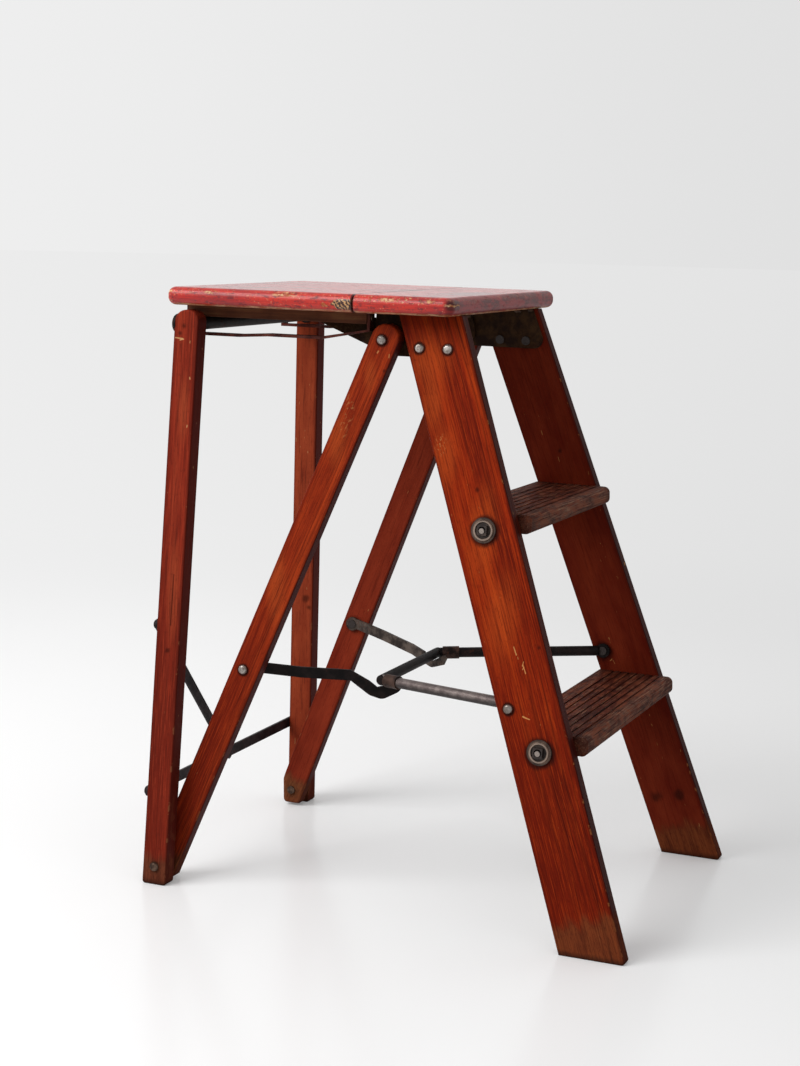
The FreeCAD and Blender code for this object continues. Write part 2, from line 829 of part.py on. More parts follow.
def make_axle():
    """The round bar through the guides, held in both rear legs."""
    body = new_body("rear_axle")
    sketch = new_sketch(body, "YZ_Plane")
    circle(sketch, "axle_y", axle_z, "axle_rad")
    add_pad(body, sketch, "2 * (%s + axle_end)" % leg_in(axle_z), both_ways=True)
    collars = []
    for side in (-1, 1):
        collar = new_body("axle_collar", False)
        disc(collar, "0", "collar_thick", "collar_rad", "axle_rad + pin_fit")
        x = number("%s - collar_thick - collar_gap" % leg_in(axle_z))
        collar.Placement = point_out(side, x, number("axle_y"), number(axle_z))
        collars.append(collar)
    group("axle_collars", collars)


def make_axle_bolts():
    """Domed bolts through the backs of the legs into the axle's ends."""
    members = []
    face = number("%s + leg_deep / 2 - axle_bolt_sunk" % leg_mid(axle_z))
    out = number("%s - leg_thick / 2" % leg_out(axle_z))
    for side in (-1, 1):
        spot = Placement(Vector(side * out, face, number(axle_z)),
                         Rotation(Vector(1, 0, 0), -90))
        members.append(screw("axle_bolt", spot, "axle_bolt_rad", "axle_bolt_high",
                             "axle_bolt_deep"))
    group("axle_bolts", members)


def make_back_brace():
    """Flat iron across the back of the legs and one strut up to the left leg."""
    leg_back = "(%s + leg_deep / 2 + bar_gap)"
    bar_y = leg_back % leg_mid("bar_z - bar_wide / 2")
    strut_y = leg_back % leg_mid("strut_top_z - 2 * bar_wide")
    hole = "screw_hole"
    bar = new_body("back_brace_bar")
    sketch = new_sketch(bar, "XZ_Plane", "%s + bar_thick / 2" % bar_y)
    reach = "(%s - bar_end_in)" % leg_out("bar_z")
    polygon(sketch, [("-" + reach, "bar_z - bar_wide / 2"), (reach, "bar_z - bar_wide / 2"),
                     (reach, "bar_z + bar_wide / 2"), ("-" + reach, "bar_z + bar_wide / 2")])
    add_pad(bar, sketch, "bar_thick", both_ways=True)
    add_fillet(bar, "bar_wide * 0.45", lambda edge: near(spans(edge)[0], 0)
               and near(spans(edge)[2], 0))
    side_x = "(%s - bolt_in)" % leg_out("bar_z")
    bores(bar, [("-" + side_x, "bar_z", hole), (side_x, "bar_z", hole),
                ("0", "bar_z", hole)], "XZ_Plane")

    # the strut runs from the bar's middle to the left leg, in one upright plane
    strut = new_body("back_brace_strut")
    sketch = new_sketch(strut, "XZ_Plane", "%s + bar_thick / 2" % strut_y)
    head_x = "(bolt_in - %s)" % leg_out("strut_top_z")
    rise = "(strut_top_z - bar_z)"
    length = "sqrt(%s * %s + %s * %s)" % (head_x, head_x, rise, rise)
    end_x = "(bar_wide / 2 * %s / %s)" % (head_x, length)
    end_z = "(bar_wide / 2 * %s / %s)" % (rise, length)
    polygon(sketch, [
        ("%s + %s - %s" % (head_x, end_x, end_z), "strut_top_z + %s + %s" % (end_z, end_x)),
        ("0 - %s - %s" % (end_x, end_z), "bar_z - %s + %s" % (end_z, end_x)),
        ("%s - %s" % (end_z, end_x), "bar_z - %s - %s" % (end_z, end_x)),
        ("%s + %s + %s" % (head_x, end_x, end_z), "strut_top_z + %s - %s" % (end_z, end_x)),
    ])
    add_pad(strut, sketch, "bar_thick", both_ways=True)
    add_fillet(strut, "bar_wide * 0.45", lambda edge: near(spans(edge)[0], 0)
               and near(spans(edge)[2], 0))
    bores(strut, [(head_x, "strut_top_z", hole), ("0", "bar_z", hole)], "XZ_Plane")

    behind_bar = number("%s + bar_thick" % bar_y)
    behind_strut = number("%s + bar_thick" % strut_y)
    through = "%s - %s + bar_thick" % (bar_y, strut_y)
    outward = Rotation(Vector(1, 0, 0), -90)
    bolts = []
    for x, y, z, deep in (("-" + side_x, behind_bar, "bar_z", "2 * screw_deep"),
                          (side_x, behind_bar, "bar_z", "2 * screw_deep"),
                          ("0", behind_bar, "bar_z", through),
                          (head_x, behind_strut, "strut_top_z", "2 * screw_deep")):
        spot = Placement(Vector(number(x), y, number(z)), outward)
        bolts.append(screw("brace_bolt", spot, "bolt_rad", "bolt_high", deep))
    group("brace_bolts", bolts)


def make_seat_screws():
    """Screws through the guides and hinge plates into the cleats."""
    members = []
    middle = number("cleat_in + cleat_thick / 2")
    front_y = number("seat_joint - guide_thick")
    back_y = number("cleat_back + guide_thick")
    z = number(end_screw_z)
    plate_x = number("cleat_in - hinge_thick")
    for side in (-1, 1):
        for y, turn in ((front_y, 90), (back_y, -90)):
            outward = Rotation(Vector(1, 0, 0), turn)
            members.append(screw("seat_screw", Placement(Vector(side * middle, y, z), outward)))
        for y in hinge_screw_ys:
            spot = Vector(side * plate_x, number(y), z)
            inward = Rotation(Vector(0, 1, 0), -90 * side)
            members.append(screw("seat_screw", Placement(spot, inward)))
    group("seat_screws", members)


# Spreader

def arm_outer():
    return "(%s - arm_gap)" % brace_in("arm_z")


def arm_inner():
    return "(%s - arm_thick)" % arm_outer()


def lug_outer():
    return "(%s - lug_gap)" % stile_in("bail_z")


def lug_inner():
    return "(%s - lug_thick)" % lug_outer()


def make_arm(side):
    """A flat arm on edge with an open hook that the cross bar lies in."""
    body = new_body(named("spreader_arm", side))
    eye_x = number("%s - arm_thick / 2" % arm_outer())
    inward = eye_x - number("cross_half - hook_inset")
    clear = number("eye_rad * 0.8")
    forward = number("arm_y - cross_y") - clear
    slant = math.atan2(inward, forward)
    reach = math.hypot(inward, forward)
    drop = number("arm_z - cross_z")
    deep = number("arm_deep")
    half = deep / 2
    bar = number("cross_rad")
    # the left hook is bent lower than the right one
    sag = number("hook_sag") if side < 0 else 0.0
    droop = number("arm_droop")
    knee_y, knee_z = -reach * 0.35, -droop * 0.42
    neck_y, neck_z = -reach * 0.73, sag * 0.9 - droop
    # the hook's points, forward and up from the middle of the cross bar; the
    # bar, an oval in the slanted arm's plane, lies on the toe's inner edge,
    # which rises at hook_rise degrees
    rise = math.radians(number("hook_rise"))
    oval = math.hypot(bar / math.cos(slant) * math.sin(rise), bar * math.cos(rise))
    skew = number("arm_thick / 2") * math.tan(slant) * math.sin(rise)
    hold = oval + skew + number("hook_fit")
    seat_at, seat_up = hold * math.sin(rise), -hold * math.cos(rise)
    toe_at = seat_at + 2.9 * bar * math.cos(rise)
    toe_up = seat_up + 2.9 * bar * math.sin(rise)
    throat_at = seat_at - 0.9 * bar * math.cos(rise)
    throat_up = seat_up - 0.9 * bar * math.sin(rise)
    nape_at, nape_up = -3.0 * bar, -0.6 * sag
    hook_top = [(nape_at, nape_up), (-1.45 * bar, throat_up - 0.35 * sag),
                (throat_at, throat_up), (toe_at, toe_up)]
    hook_low = [(toe_at + deep * 0.25, toe_up - deep * 0.33),
                (2.85 * bar, -0.85 * deep - 0.9 * sag),
                (-0.5 * bar, throat_up - 0.7 * deep - 1.5 * sag),
                (nape_at, nape_up - 1.1 * deep - 0.6 * sag)]
    sketch = new_sketch(body, "YZ_Plane", turn=-side * math.degrees(slant))
    sketch.setExpression("AttachmentOffset.Base.x", "-%.5f" % clear)
    outline = [(0, half), (knee_y, knee_z + half), (neck_y, neck_z + half)]
    outline += [(-reach - at, up - drop) for at, up in hook_top + hook_low]
    outline += [(neck_y, neck_z - half), (knee_y, knee_z - half), (0, -half)]
    polygon(sketch, [("%.5f" % y, "%.5f" % z) for y, z in outline])
    add_pad(body, sketch, "arm_thick", both_ways=True)
    sole = throat_up - drop - deep * 0.3
    add_fillet(body, "arm_deep", lambda edge: near(edge.Length, number("arm_thick"))
               and edge.BoundBox.ZMax < sole)
    eye = new_sketch(body, "YZ_Plane")
    circle(eye, "0", "0", "eye_rad")
    add_pad(body, eye, "arm_thick", both_ways=True)
    hole = new_sketch(body, "YZ_Plane")
    circle(hole, "0", "0", "pin_rad + pin_fit")
    add_bore(body, hole)
    body.Placement = Placement(Vector(side * eye_x, number("arm_y"), number("arm_z")),
                               Rotation(0, 0, 0))


def make_bail_side(side):
    """A round rod from the stile to the cross bar, flattened to a lug."""
    label = named("spreader_rod", side)
    lug_x = number("%s - lug_thick / 2" % lug_outer())
    start = Vector(side * lug_x, number("bail_y"), number("bail_z"))
    corner = Vector(side * number("cross_half"), number("cross_y"), number("cross_z"))
    run = corner - start
    clear = number("eye_rad * 0.8")
    rod = doc.addObject("Part::Cylinder", label + "_bar")
    rod.setExpression("Radius", bound("bail_rad"))
    rod.Height = run.Length - clear
    rod.Placement = Placement(start + run * (clear / run.Length),
                              Rotation(Vector(0, 0, 1), run))
    lug = doc.addObject("Part::Cylinder", label + "_lug")
    lug.setExpression("Radius", bound("eye_rad"))
    lug.setExpression("Height", bound("lug_thick"))
    lug.Placement = Placement(start - Vector(number("lug_thick") / 2, 0, 0),
                              Rotation(Vector(0, 1, 0), 90))
    outside = doc.addObject("Part::Box", label + "_outside")
    outside.Length = number("3 * eye_rad")
    outside.Width = number("4 * eye_rad")
    outside.Height = number("4 * eye_rad")
    outer = number(lug_outer())
    left = outer if side > 0 else -outer - outside.Length.Value
    outside.Placement = Placement(Vector(left, start.y - outside.Width.Value / 2,
                                         start.z - outside.Height.Value / 2), Rotation())
    hole = doc.addObject("Part::Cylinder", label + "_hole")
    hole.setExpression("Radius", bound("pin_rad + pin_fit"))
    hole.setExpression("Height", bound("6 * lug_thick"))
    hole.Placement = Placement(start - Vector(number("3 * lug_thick"), 0, 0),
                               Rotation(Vector(0, 1, 0), 90))
    cope = doc.addObject("Part::Cylinder", label + "_cope")
    cope.setExpression("Radius", bound("cross_rad"))
    cope.setExpression("Height", bound("2 * (cross_half + 2 * cross_rad)"))
    cope_half = number("cross_half + 2 * cross_rad")
    cope.Placement = Placement(Vector(-cope_half, corner.y, corner.z),
                               Rotation(Vector(0, 1, 0), 90))
    joined = doc.addObject("Part::MultiFuse", label + "_joined")
    joined.Shapes = [rod, lug]
    waste = doc.addObject("Part::MultiFuse", label + "_waste")
    waste.Shapes = [outside, hole, cope]
    piece = doc.addObject("Part::Cut", label)
    piece.Label = label
    piece.Base = joined
    piece.Tool = waste
    subparts.append(piece)

    sleeve = new_body(named("spreader_sleeve", side))
    disc(sleeve, "0", "sleeve_long", "sleeve_rad", "bail_rad + pin_fit", ease="sleeve_rad / 8")
    near_corner = corner - run * (number("sleeve_back + sleeve_long") / run.Length)
    sleeve.Placement = Placement(near_corner, Rotation(Vector(0, 0, 1), run))


def make_cross_bar():
    body = new_body("spreader_cross_bar")
    sketch = new_sketch(body, "YZ_Plane")
    circle(sketch, "cross_y", "cross_z", "cross_rad")
    add_pad(body, sketch, "2 * (cross_half + cross_rad)", both_ways=True)
    add_fillet(body, "cross_rad * 0.6", lambda edge: near(spans(edge)[0], 0))


make_boards()
for way in (-1, 1):
    make_stile(way)
    make_bracket(way)
    make_brace(way)
    make_leg(way)
    make_cleat(way)
    make_guide(way)
    make_hinge_plate(way)
    make_pivots(way)
    make_arm(way)
    make_bail_side(way)
make_tread("lower_tread", "lower_tread_top")
make_tread("upper_tread", "upper_tread_top")
make_tie_rod("lower_tie_rod", "lower_tread_top")
make_tie_rod("upper_tie_rod", "upper_tread_top")
make_rod_fittings()
make_bracket_rivets()
make_bracket_screws()
make_spacers()
make_pivot_washers()
make_axle()
make_axle_bolts()
make_back_brace()
make_seat_screws()
make_cross_bar()
doc.recompute()

for item in doc.Objects:
    if "Invalid" in item.State or "Error" in item.State:
        raise RuntimeError("failed object " + item.Label)
for item in subparts:
    if item.Shape.isNull() or not item.Shape.isValid():
        raise RuntimeError("bad shape " + item.Label)

os.makedirs("parts", exist_ok=True)
for item in subparts:
    item.Shape.exportStep("parts/%s.step" % item.Label)
print("%d sub-parts written" % len(subparts))
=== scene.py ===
import math

import bpy
import numpy as np
from mathutils import Matrix, Vector


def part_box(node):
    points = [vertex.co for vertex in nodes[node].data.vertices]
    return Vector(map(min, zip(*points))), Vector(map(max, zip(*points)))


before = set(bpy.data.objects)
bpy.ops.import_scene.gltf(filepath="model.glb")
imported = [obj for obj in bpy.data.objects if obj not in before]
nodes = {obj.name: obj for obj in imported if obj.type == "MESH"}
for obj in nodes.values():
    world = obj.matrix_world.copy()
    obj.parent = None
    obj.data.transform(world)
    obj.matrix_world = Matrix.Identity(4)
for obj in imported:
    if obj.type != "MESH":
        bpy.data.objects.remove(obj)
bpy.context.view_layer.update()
print("frame loaded:", len(nodes), "nodes")


# Shader maths

def linear(red, green, blue):
    # a colour as it looks on screen, 0 to 255, turned into light values
    shares = [value / 255.0 for value in (red, green, blue)]
    light = [s / 12.92 if s <= 0.04045 else ((s + 0.055) / 1.055) ** 2.4 for s in shares]
    return (light[0], light[1], light[2], 1.0)


class Shade:
    # wraps one output socket, so that sums on masks read as plain sums

    def __init__(self, paint, socket):
        self.paint = paint
        self.socket = socket

    def maths(self, operation, first, second=None):
        inputs = {0: first}
        if second is not None:
            inputs[1] = second
        return self.paint.node("ShaderNodeMath", {"operation": operation}, inputs)

    def __add__(self, other): return self.maths("ADD", self, other)
    def __radd__(self, other): return self.maths("ADD", other, self)
    def __sub__(self, other): return self.maths("SUBTRACT", self, other)
    def __rsub__(self, other): return self.maths("SUBTRACT", other, self)
    def __mul__(self, other): return self.maths("MULTIPLY", self, other)
    def __rmul__(self, other): return self.maths("MULTIPLY", other, self)
    def __truediv__(self, other): return self.maths("DIVIDE", self, other)
    def __neg__(self): return self.maths("MULTIPLY", self, -1.0)
    def __abs__(self): return self.maths("ABSOLUTE", self)

    def least(self, other): return self.maths("MINIMUM", self, other)
    def most(self, other): return self.maths("MAXIMUM", self, other)
    def wave(self): return self.maths("SINE", self)
    def root(self): return self.maths("SQRT", self)

    def between(self, low, high):
        # 0 below low, 1 above high, smooth in the middle; low may be the larger
        return self.paint.node("ShaderNodeMapRange", {"interpolation_type": "SMOOTHSTEP"},
                               {"Value": self, "From Min": low, "From Max": high,
                                "To Min": 0.0, "To Max": 1.0})


class Paint:
    # one material and the few kinds of node that this stool's finishes need

    def __init__(self, name, gloss=0.5):
        self.material = bpy.data.materials.new(name)
        self.material.use_nodes = True
        self.tree = self.material.node_tree
        self.tree.nodes.clear()
        self.shader = self.tree.nodes.new("ShaderNodeBsdfPrincipled")
        self.shader.inputs["Specular IOR Level"].default_value = gloss
        self.out = self.tree.nodes.new("ShaderNodeOutputMaterial")
        self.tree.links.new(self.shader.outputs["BSDF"], self.out.inputs["Surface"])
        self.place = self.node("ShaderNodeTexCoord", {}, {}, "Object")
        parts = self.tree.nodes.new("ShaderNodeSeparateXYZ")
        self.tree.links.new(self.place.socket, parts.inputs[0])
        self.x, self.y, self.z = [Shade(self, parts.outputs[axis]) for axis in "XYZ"]

    def node(self, kind, settings, inputs, output=0):
        made = self.tree.nodes.new(kind)
        for key, value in settings.items():
            if key == "stops":
                ramp = made.color_ramp
                while len(ramp.elements) < len(value):
                    ramp.elements.new(0.5)
                for element, (spot, colour) in zip(ramp.elements, value):
                    element.position = spot
                    element.color = colour
            else:
                setattr(made, key, value)
        for key, value in inputs.items():
            socket = made.inputs[key]
            if isinstance(value, Shade):
                self.tree.links.new(value.socket, socket)
            else:
                socket.default_value = value
        return Shade(self, made.outputs[output])

    def vector(self, x, y, z):
        return self.node("ShaderNodeCombineXYZ", {}, {0: x, 1: y, 2: z})

    def noise(self, where, scale=1.0, detail=3.0, rough=0.55):
        return self.node("ShaderNodeTexNoise", {}, {"Vector": where, "Scale": scale,
                                                    "Detail": detail, "Roughness": rough})

    def stretched(self, x, y, z, detail=3.0, rough=0.55):
        # noise drawn out along the axes that have the smaller numbers
        where = self.vector(self.x * x, self.y * y, self.z * z)
        return self.noise(where, 1.0, detail, rough)

    def mix(self, share, first, second):
        made = self.tree.nodes.new("ShaderNodeMix")
        made.data_type = "RGBA"
        for index, value in ((0, share), (6, first), (7, second)):
            if isinstance(value, Shade):
                self.tree.links.new(value.socket, made.inputs[index])
            else:
                made.inputs[index].default_value = value
        return Shade(self, made.outputs[2])

    def ramp(self, share, stops):
        return self.node("ShaderNodeValToRGB", {"stops": stops}, {"Fac": share})

    def away(self, y, z):
        # distance in the Y-Z plane from a rivet or bolt
        across = self.y - y
        up = self.z - z
        return (across * across + up * up).root()

    def oval(self, y, z, wide, tall):
        # 0 in the middle of a spot in the Y-Z plane and 1 on its oval outline
        across = (self.y - y) / wide
        up = (self.z - z) / tall
        return (across * across + up * up).root()

    def stroke(self, y, z, tilt, length):
        # distance in the Y-Z plane from a short straight scratch
        cos, sin = math.cos(math.radians(tilt)), math.sin(math.radians(tilt))
        forth = (self.y - y) * cos + (self.z - z) * sin
        off = (self.z - z) * cos - (self.y - y) * sin
        past = (abs(forth) - length / 2).most(0.0)
        return (past * past + off * off).root()

    def finish(self, colour, rough, metal=None, bump=None, depth=0.0003, coat=None):
        for name, value in (("Base Color", colour), ("Roughness", rough),
                            ("Metallic", metal), ("Coat Weight", coat)):
            if value is None:
                continue
            if isinstance(value, Shade):
                self.tree.links.new(value.socket, self.shader.inputs[name])
            else:
                self.shader.inputs[name].default_value = value
        if bump is not None:
            height = self.node("ShaderNodeBump", {}, {"Height": bump, "Distance": depth,
                                                      "Strength": 1.0})
            self.tree.links.new(height.socket, self.shader.inputs["Normal"])
        return self.material


def dress(names, material):
    for name in names:
        nodes[name].data.materials.clear()
        nodes[name].data.materials.append(material)


def middle(name):
    low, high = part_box(name)
    return (low + high) / 2.0


sides = (("left", -1.0), ("right", 1.0))
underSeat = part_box("seat_front_board")[0].z
rivetRadius = (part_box("main_pivot_left")[1].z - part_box("main_pivot_left")[0].z) / 2.0


# Planks: stiles, braces and legs

def splayed(name, thick, half, toe=0.0):
    # where a leaning plank lies, read from its box: the middle line and the
    # outer face at the floor, and how far each moves for a metre of height
    low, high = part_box(name)
    tall = high.z - low.z
    leansBack = name.startswith("front")
    footMid = low.y + half - toe if leansBack else high.y - half
    topMid = high.y - half if leansBack else low.y + half
    return {"middle": footMid, "lean": (topMid - footMid) / tall, "out": high.x,
            "splay": (low.x + thick - high.x) / tall, "half": half, "thick": thick}


planks = {
    "stile": {"thick": 0.015, "half": 0.033, "toe": 0.0011},
    "brace": {"thick": 0.015, "half": 0.0159},
    "leg": {"thick": 0.0185, "half": 0.0135},
    "pivotBehind": 0.0026,  # the main pivot lies behind the brace's middle line
    "bracketRivets": ((-0.0112, 0.560), (-0.0404, 0.560)), "washerRadius": 0.0124,
    "ring": linear(34, 14, 10), "crack": linear(52, 16, 12), "sole": linear(40, 26, 20),
    "seeds": {"left": 0.37, "right": 2.11}, "braceSeed": 1.3, "legSeed": 2.9,
}

stile = splayed("front_stile_right", **planks["stile"])
stile.update({
    "light": linear(190, 70, 22), "tone": linear(154, 44, 14), "dark": linear(108, 26, 11),
    # inner, innerLight: inner-face tones, darkened by dirt and painted shade
    "grain": linear(78, 18, 9), "inner": linear(90, 23, 13), "innerLight": linear(124, 46, 26),
    # front: painted shade for the front faces
    "front": linear(38, 14, 13), "foot": linear(122, 62, 34), "footDark": linear(70, 34, 22),
    "scratch": linear(222, 160, 96), "soft": 0.42, "footHigh": 0.037, "footTilt": 0.30,
    "glow": linear(200, 86, 34), "bare": linear(150, 92, 52), "lined": 0.85, "lowShade": 0.80,
    "knots": [(-0.0806, 0.4288, 0.0020), (-0.1542, 0.2857, 0.0012)],
    "strokes": [(-0.1306, 0.2804, 66, 0.008), (-0.1340, 0.2740, 72, 0.002),
                (-0.1394, 0.2690, 100, 0.004), (-0.1412, 0.2640, 66, 0.008),
                (-0.1400, 0.2650, 112, 0.003), (-0.1486, 0.2180, 12, 0.003),
                (-0.1448, 0.2190, 20, 0.003), (-0.0394, 0.4687, 80, 0.003)],
    "patches": [(-0.0400, 0.4690, 0.007, 0.012)],
    "glows": [(-0.0240, 0.5500, 0.030, 0.030), (-0.0290, 0.5080, 0.016, 0.034),
              (-0.0460, 0.4560, 0.016, 0.040), (-0.0900, 0.3900, 0.018, 0.050),
              (-0.1150, 0.3100, 0.020, 0.050)],
    "cracks": [],
    "farKnots": [(-0.0776, 0.4414, 0.0020), (-0.1894, 0.0641, 0.0080),
                 (-0.2156, 0.0697, 0.0060)],
    "farStrokes": [(-0.1395, 0.2127, 60, 0.004), (-0.1365, 0.2150, 130, 0.003)],
    "farGlows": [(-0.1100, 0.3050, 0.016, 0.060)],
    "rivets": [(middle("bail_pivot_left").y, middle("bail_pivot_left").z, rivetRadius)]
    + [(y, z, rivetRadius) for y, z in planks["bracketRivets"]],
    "washers": [(middle(name).y, middle(name).z, planks["washerRadius"])
                for name in ("upper_tie_rod", "lower_tie_rod")],
})

mainPivot, footPivot = middle("main_pivot_left"), middle("foot_pivot_left")
braceTop = mainPivot.y - planks["pivotBehind"]
braceLean = (braceTop - footPivot.y) / (mainPivot.z - footPivot.z)
brace = splayed("rear_brace_right", **planks["brace"])
brace.update({
    "middle": footPivot.y - braceLean * footPivot.z, "lean": braceLean,
    "light": linear(184, 68, 28), "tone": linear(150, 48, 21), "dark": linear(114, 31, 15),
    # inner, innerLight: inner-face tones, darkened by dirt and painted shade
    "grain": linear(80, 22, 13), "inner": linear(118, 38, 24),
    # front: painted shade for the front faces
    "innerLight": linear(152, 58, 36), "front": linear(62, 26, 26), "foot": linear(122, 72, 44),
    "footDark": linear(60, 32, 24), "scratch": linear(200, 138, 84), "soft": 0.42,
    "footHigh": 0.034, "footTilt": 0.0, "glow": linear(196, 88, 40),
    "bare": linear(136, 76, 48), "lined": 0.62, "lowShade": 0.45,
    "knots": [(0.0240, 0.5360, 0.0012)],
    "strokes": [(0.0315, 0.5541, 120, 0.002), (0.0196, 0.5508, 95, 0.003)],
    "cracks": [],
    "patches": [(0.0590, 0.4960, 0.006, 0.019), (0.0640, 0.4790, 0.005, 0.012)],
    "glows": [(0.0700, 0.4640, 0.012, 0.034), (0.1300, 0.3180, 0.012, 0.050),
              (0.0380, 0.5300, 0.008, 0.020)],
    "farKnots": [], "farStrokes": [], "farGlows": [],
    "rivets": [(spot.y, spot.z, rivetRadius)
               for spot in (mainPivot, footPivot, middle("arm_pivot_left"))],
    "washers": [],
})

leg = splayed("rear_leg_right", **planks["leg"])
leg.update({
    "light": linear(176, 68, 42), "tone": linear(142, 46, 29), "dark": linear(108, 32, 20),
    # inner, innerLight: inner-face tones, darkened by dirt and painted shade
    "grain": linear(82, 28, 20), "inner": linear(132, 50, 30),
    # front: painted shade for the front faces
    "innerLight": linear(168, 74, 44), "front": linear(78, 24, 18),
    "foot": linear(112, 62, 42), "footDark": linear(56, 30, 22),
    "scratch": linear(216, 166, 112), "soft": 0.44, "footHigh": 0.030, "footTilt": 0.0,
    "glow": linear(180, 84, 50), "bare": linear(140, 84, 56), "lined": 0.62, "lowShade": 0.45,
    "knots": [(0.2313, 0.5714, 0.0030), (0.2355, 0.5642, 0.0022), (0.2370, 0.2440, 0.0020)],
    "strokes": [(0.2365, 0.5592, 4, 0.008), (0.2332, 0.5580, -12, 0.004),
                (0.2239, 0.5558, 95, 0.002), (0.2226, 0.5200, 80, 0.0015),
                (0.2240, 0.4720, 100, 0.002)],
    "patches": [],
    "glows": [(0.2290, 0.4900, 0.008, 0.040), (0.2330, 0.3000, 0.008, 0.060)],
    "cracks": [(0.2338, 0.2960, 92, 0.052)],
    "farKnots": [(0.2330, 0.2460, 0.0046), (0.2290, 0.2360, 0.0030)], "farStrokes": [],
    "farGlows": [(0.2330, 0.4700, 0.010, 0.080), (0.2330, 0.2600, 0.014, 0.060),
                 (0.2330, 0.1900, 0.014, 0.060)],
    "rivets": [(footPivot.y, footPivot.z, rivetRadius)],
    "washers": [],
})


def plankWood(name, plank, side, seed):
    # stained softwood: fine lines run the length of the plank, closer together
    # on its front half; edges are dirty, bolts leave dark rings, the inner faces
    # are darker from dirt and painted shade, the front faces are darkened as
    # painted shade, and the foot is worn to brown fibres
    paint = Paint(name, 0.03)
    half = plank["half"]
    nearSide = side < 0
    marks = ("knots", "strokes", "glows") if nearSide else ("farKnots", "farStrokes", "farGlows")
    knots, strokes, glows = [plank[key] for key in marks]
    across = paint.y - (plank["middle"] + plank["lean"] * paint.z)
    deep = side * paint.x - (plank["out"] + plank["splay"] * paint.z)
    along = paint.z + seed
    sway = paint.noise(paint.vector(across * 14.0, deep * 14.0, along * 2.6), 1.0, 2.0)
    lane = across + deep * 0.4 + (sway - 0.5) * 0.014
    broad = paint.noise(paint.vector(lane * 34.0 + seed, deep * 20.0, along * 1.8))
    bands = paint.noise(paint.vector(lane * 130.0, deep * 60.0, along * 2.4), 1.0, 3.0, 0.6)
    fine = paint.noise(paint.vector(lane * 400.0, deep * 200.0, along * 5.0), 1.0, 3.0, 0.62)
    fibre = paint.noise(paint.vector(lane * 760.0, deep * 420.0, along * 26.0), 1.0, 4.0, 0.66)
    pores = paint.noise(paint.vector(lane * 520.0, deep * 420.0, along * 200.0), 1.0, 3.0, 0.6)
    grime = paint.noise(paint.vector(across * 60.0, deep * 60.0, along * 24.0 + seed),
                        1.0, 4.0, 0.6)

    colour = paint.ramp(broad * 0.62 + bands * 0.38,
                        [(0.38, plank["dark"]), (0.49, plank["tone"]), (0.62, plank["light"])])
    for y, z, wide, tall in glows:
        reach = paint.oval(y, z, wide, tall) + (sway - 0.5) * 1.2
        colour = paint.mix(reach.between(1.2, 0.2) * 0.42, colour, plank["glow"])
    shadowed = (paint.z + (broad - 0.5) * 0.16).between(0.36, 0.12) * plank["lowShade"]
    colour = paint.mix(shadowed, colour, plank["dark"])
    lines = (bands.between(0.50, 0.58) * 0.5 + fine.between(0.48, 0.58) * 0.6).least(1.0)
    front = 0.50 + across.between(half * 0.3, -half * 0.4) * 0.5
    colour = paint.mix(lines * front * plank["lined"], colour, plank["grain"])
    colour = paint.mix(fibre.between(0.50, 0.66) * 0.42, colour, plank["light"])
    colour = paint.mix(fibre.between(0.50, 0.36) * 0.55, colour, plank["grain"])
    colour = paint.mix(pores.between(0.46, 0.32) * 0.35, colour, plank["grain"])

    # the inner faces are darker: part dirt and stain, part painted shade
    innerDirtAndShade = deep.between(-plank["thick"] * 0.86, -plank["thick"] * 0.98)
    innerStainAndShadeTone = paint.ramp(broad * 0.5 + grime * 0.5, [(0.36, plank["inner"]),
                                                       (0.64, plank["innerLight"])])
    innerStainAndShadeTone = paint.mix(fibre.between(0.46, 0.36) * 0.5, innerStainAndShadeTone, plank["grain"])
    innerStainAndShadeTone = paint.mix(pores.between(0.54, 0.68) * 0.35, innerStainAndShadeTone, plank["dark"])
    colour = paint.mix(innerDirtAndShade * 0.90, colour, innerStainAndShadeTone)
    # painted shade: the front faces, turned away from the lamp, go nearly black
    faced = across.between(-half + 0.0012, -half + 0.0002)
    backed = across.between(half - 0.0010, half - 0.0002)
    colour = paint.mix(faced * 0.88, colour, plank["front"])
    colour = paint.mix(backed * 0.55, colour, plank["dark"])

    rim = abs(across) + (grime - 0.5) * 0.005
    dirt = rim.between(half - 0.0036, half - 0.0012) * (1.0 - faced) * (1.0 - backed)
    colour = paint.mix(dirt * 0.45, colour, plank["grain"])
    corner = (abs(across) - (half - 0.0009)).between(-0.0012, 0.0) \
        * (abs(across) - (half - 0.0002)).between(0.0003, -0.0002)
    nicks = paint.noise(paint.vector(across * 90.0, deep * 90.0, along * 70.0), 1.0, 3.0, 0.6)
    rubbed = corner * (nicks + paint.z.between(0.30, 0.10) * 0.08).between(0.63, 0.67)
    colour = paint.mix(rubbed * 0.7, colour, plank["bare"])

    stain = 0.0
    halo = 0.0030 if nearSide else 0.0080
    for y, z, radius in plank["rivets"]:
        ring = paint.away(y, z - 0.0006) + (grime - 0.5) * halo
        stain = ring.between(radius + halo, radius + 0.0006) * 0.85 + stain
    for y, z, radius in plank["washers"]:
        ring = paint.away(y - 0.0008, z - 0.0012) + (grime - 0.5) * 0.008
        stain = ring.between(radius + 0.0052, radius + 0.0002) * 0.8 + stain
    for y, z, radius in knots:
        spot = paint.away(y, z) + (grime - 0.5) * radius * 2.6
        stain = spot.between(radius + 0.0016, radius * 0.2) * 0.65 + stain
    colour = paint.mix(stain.least(1.0), colour, planks["ring"])

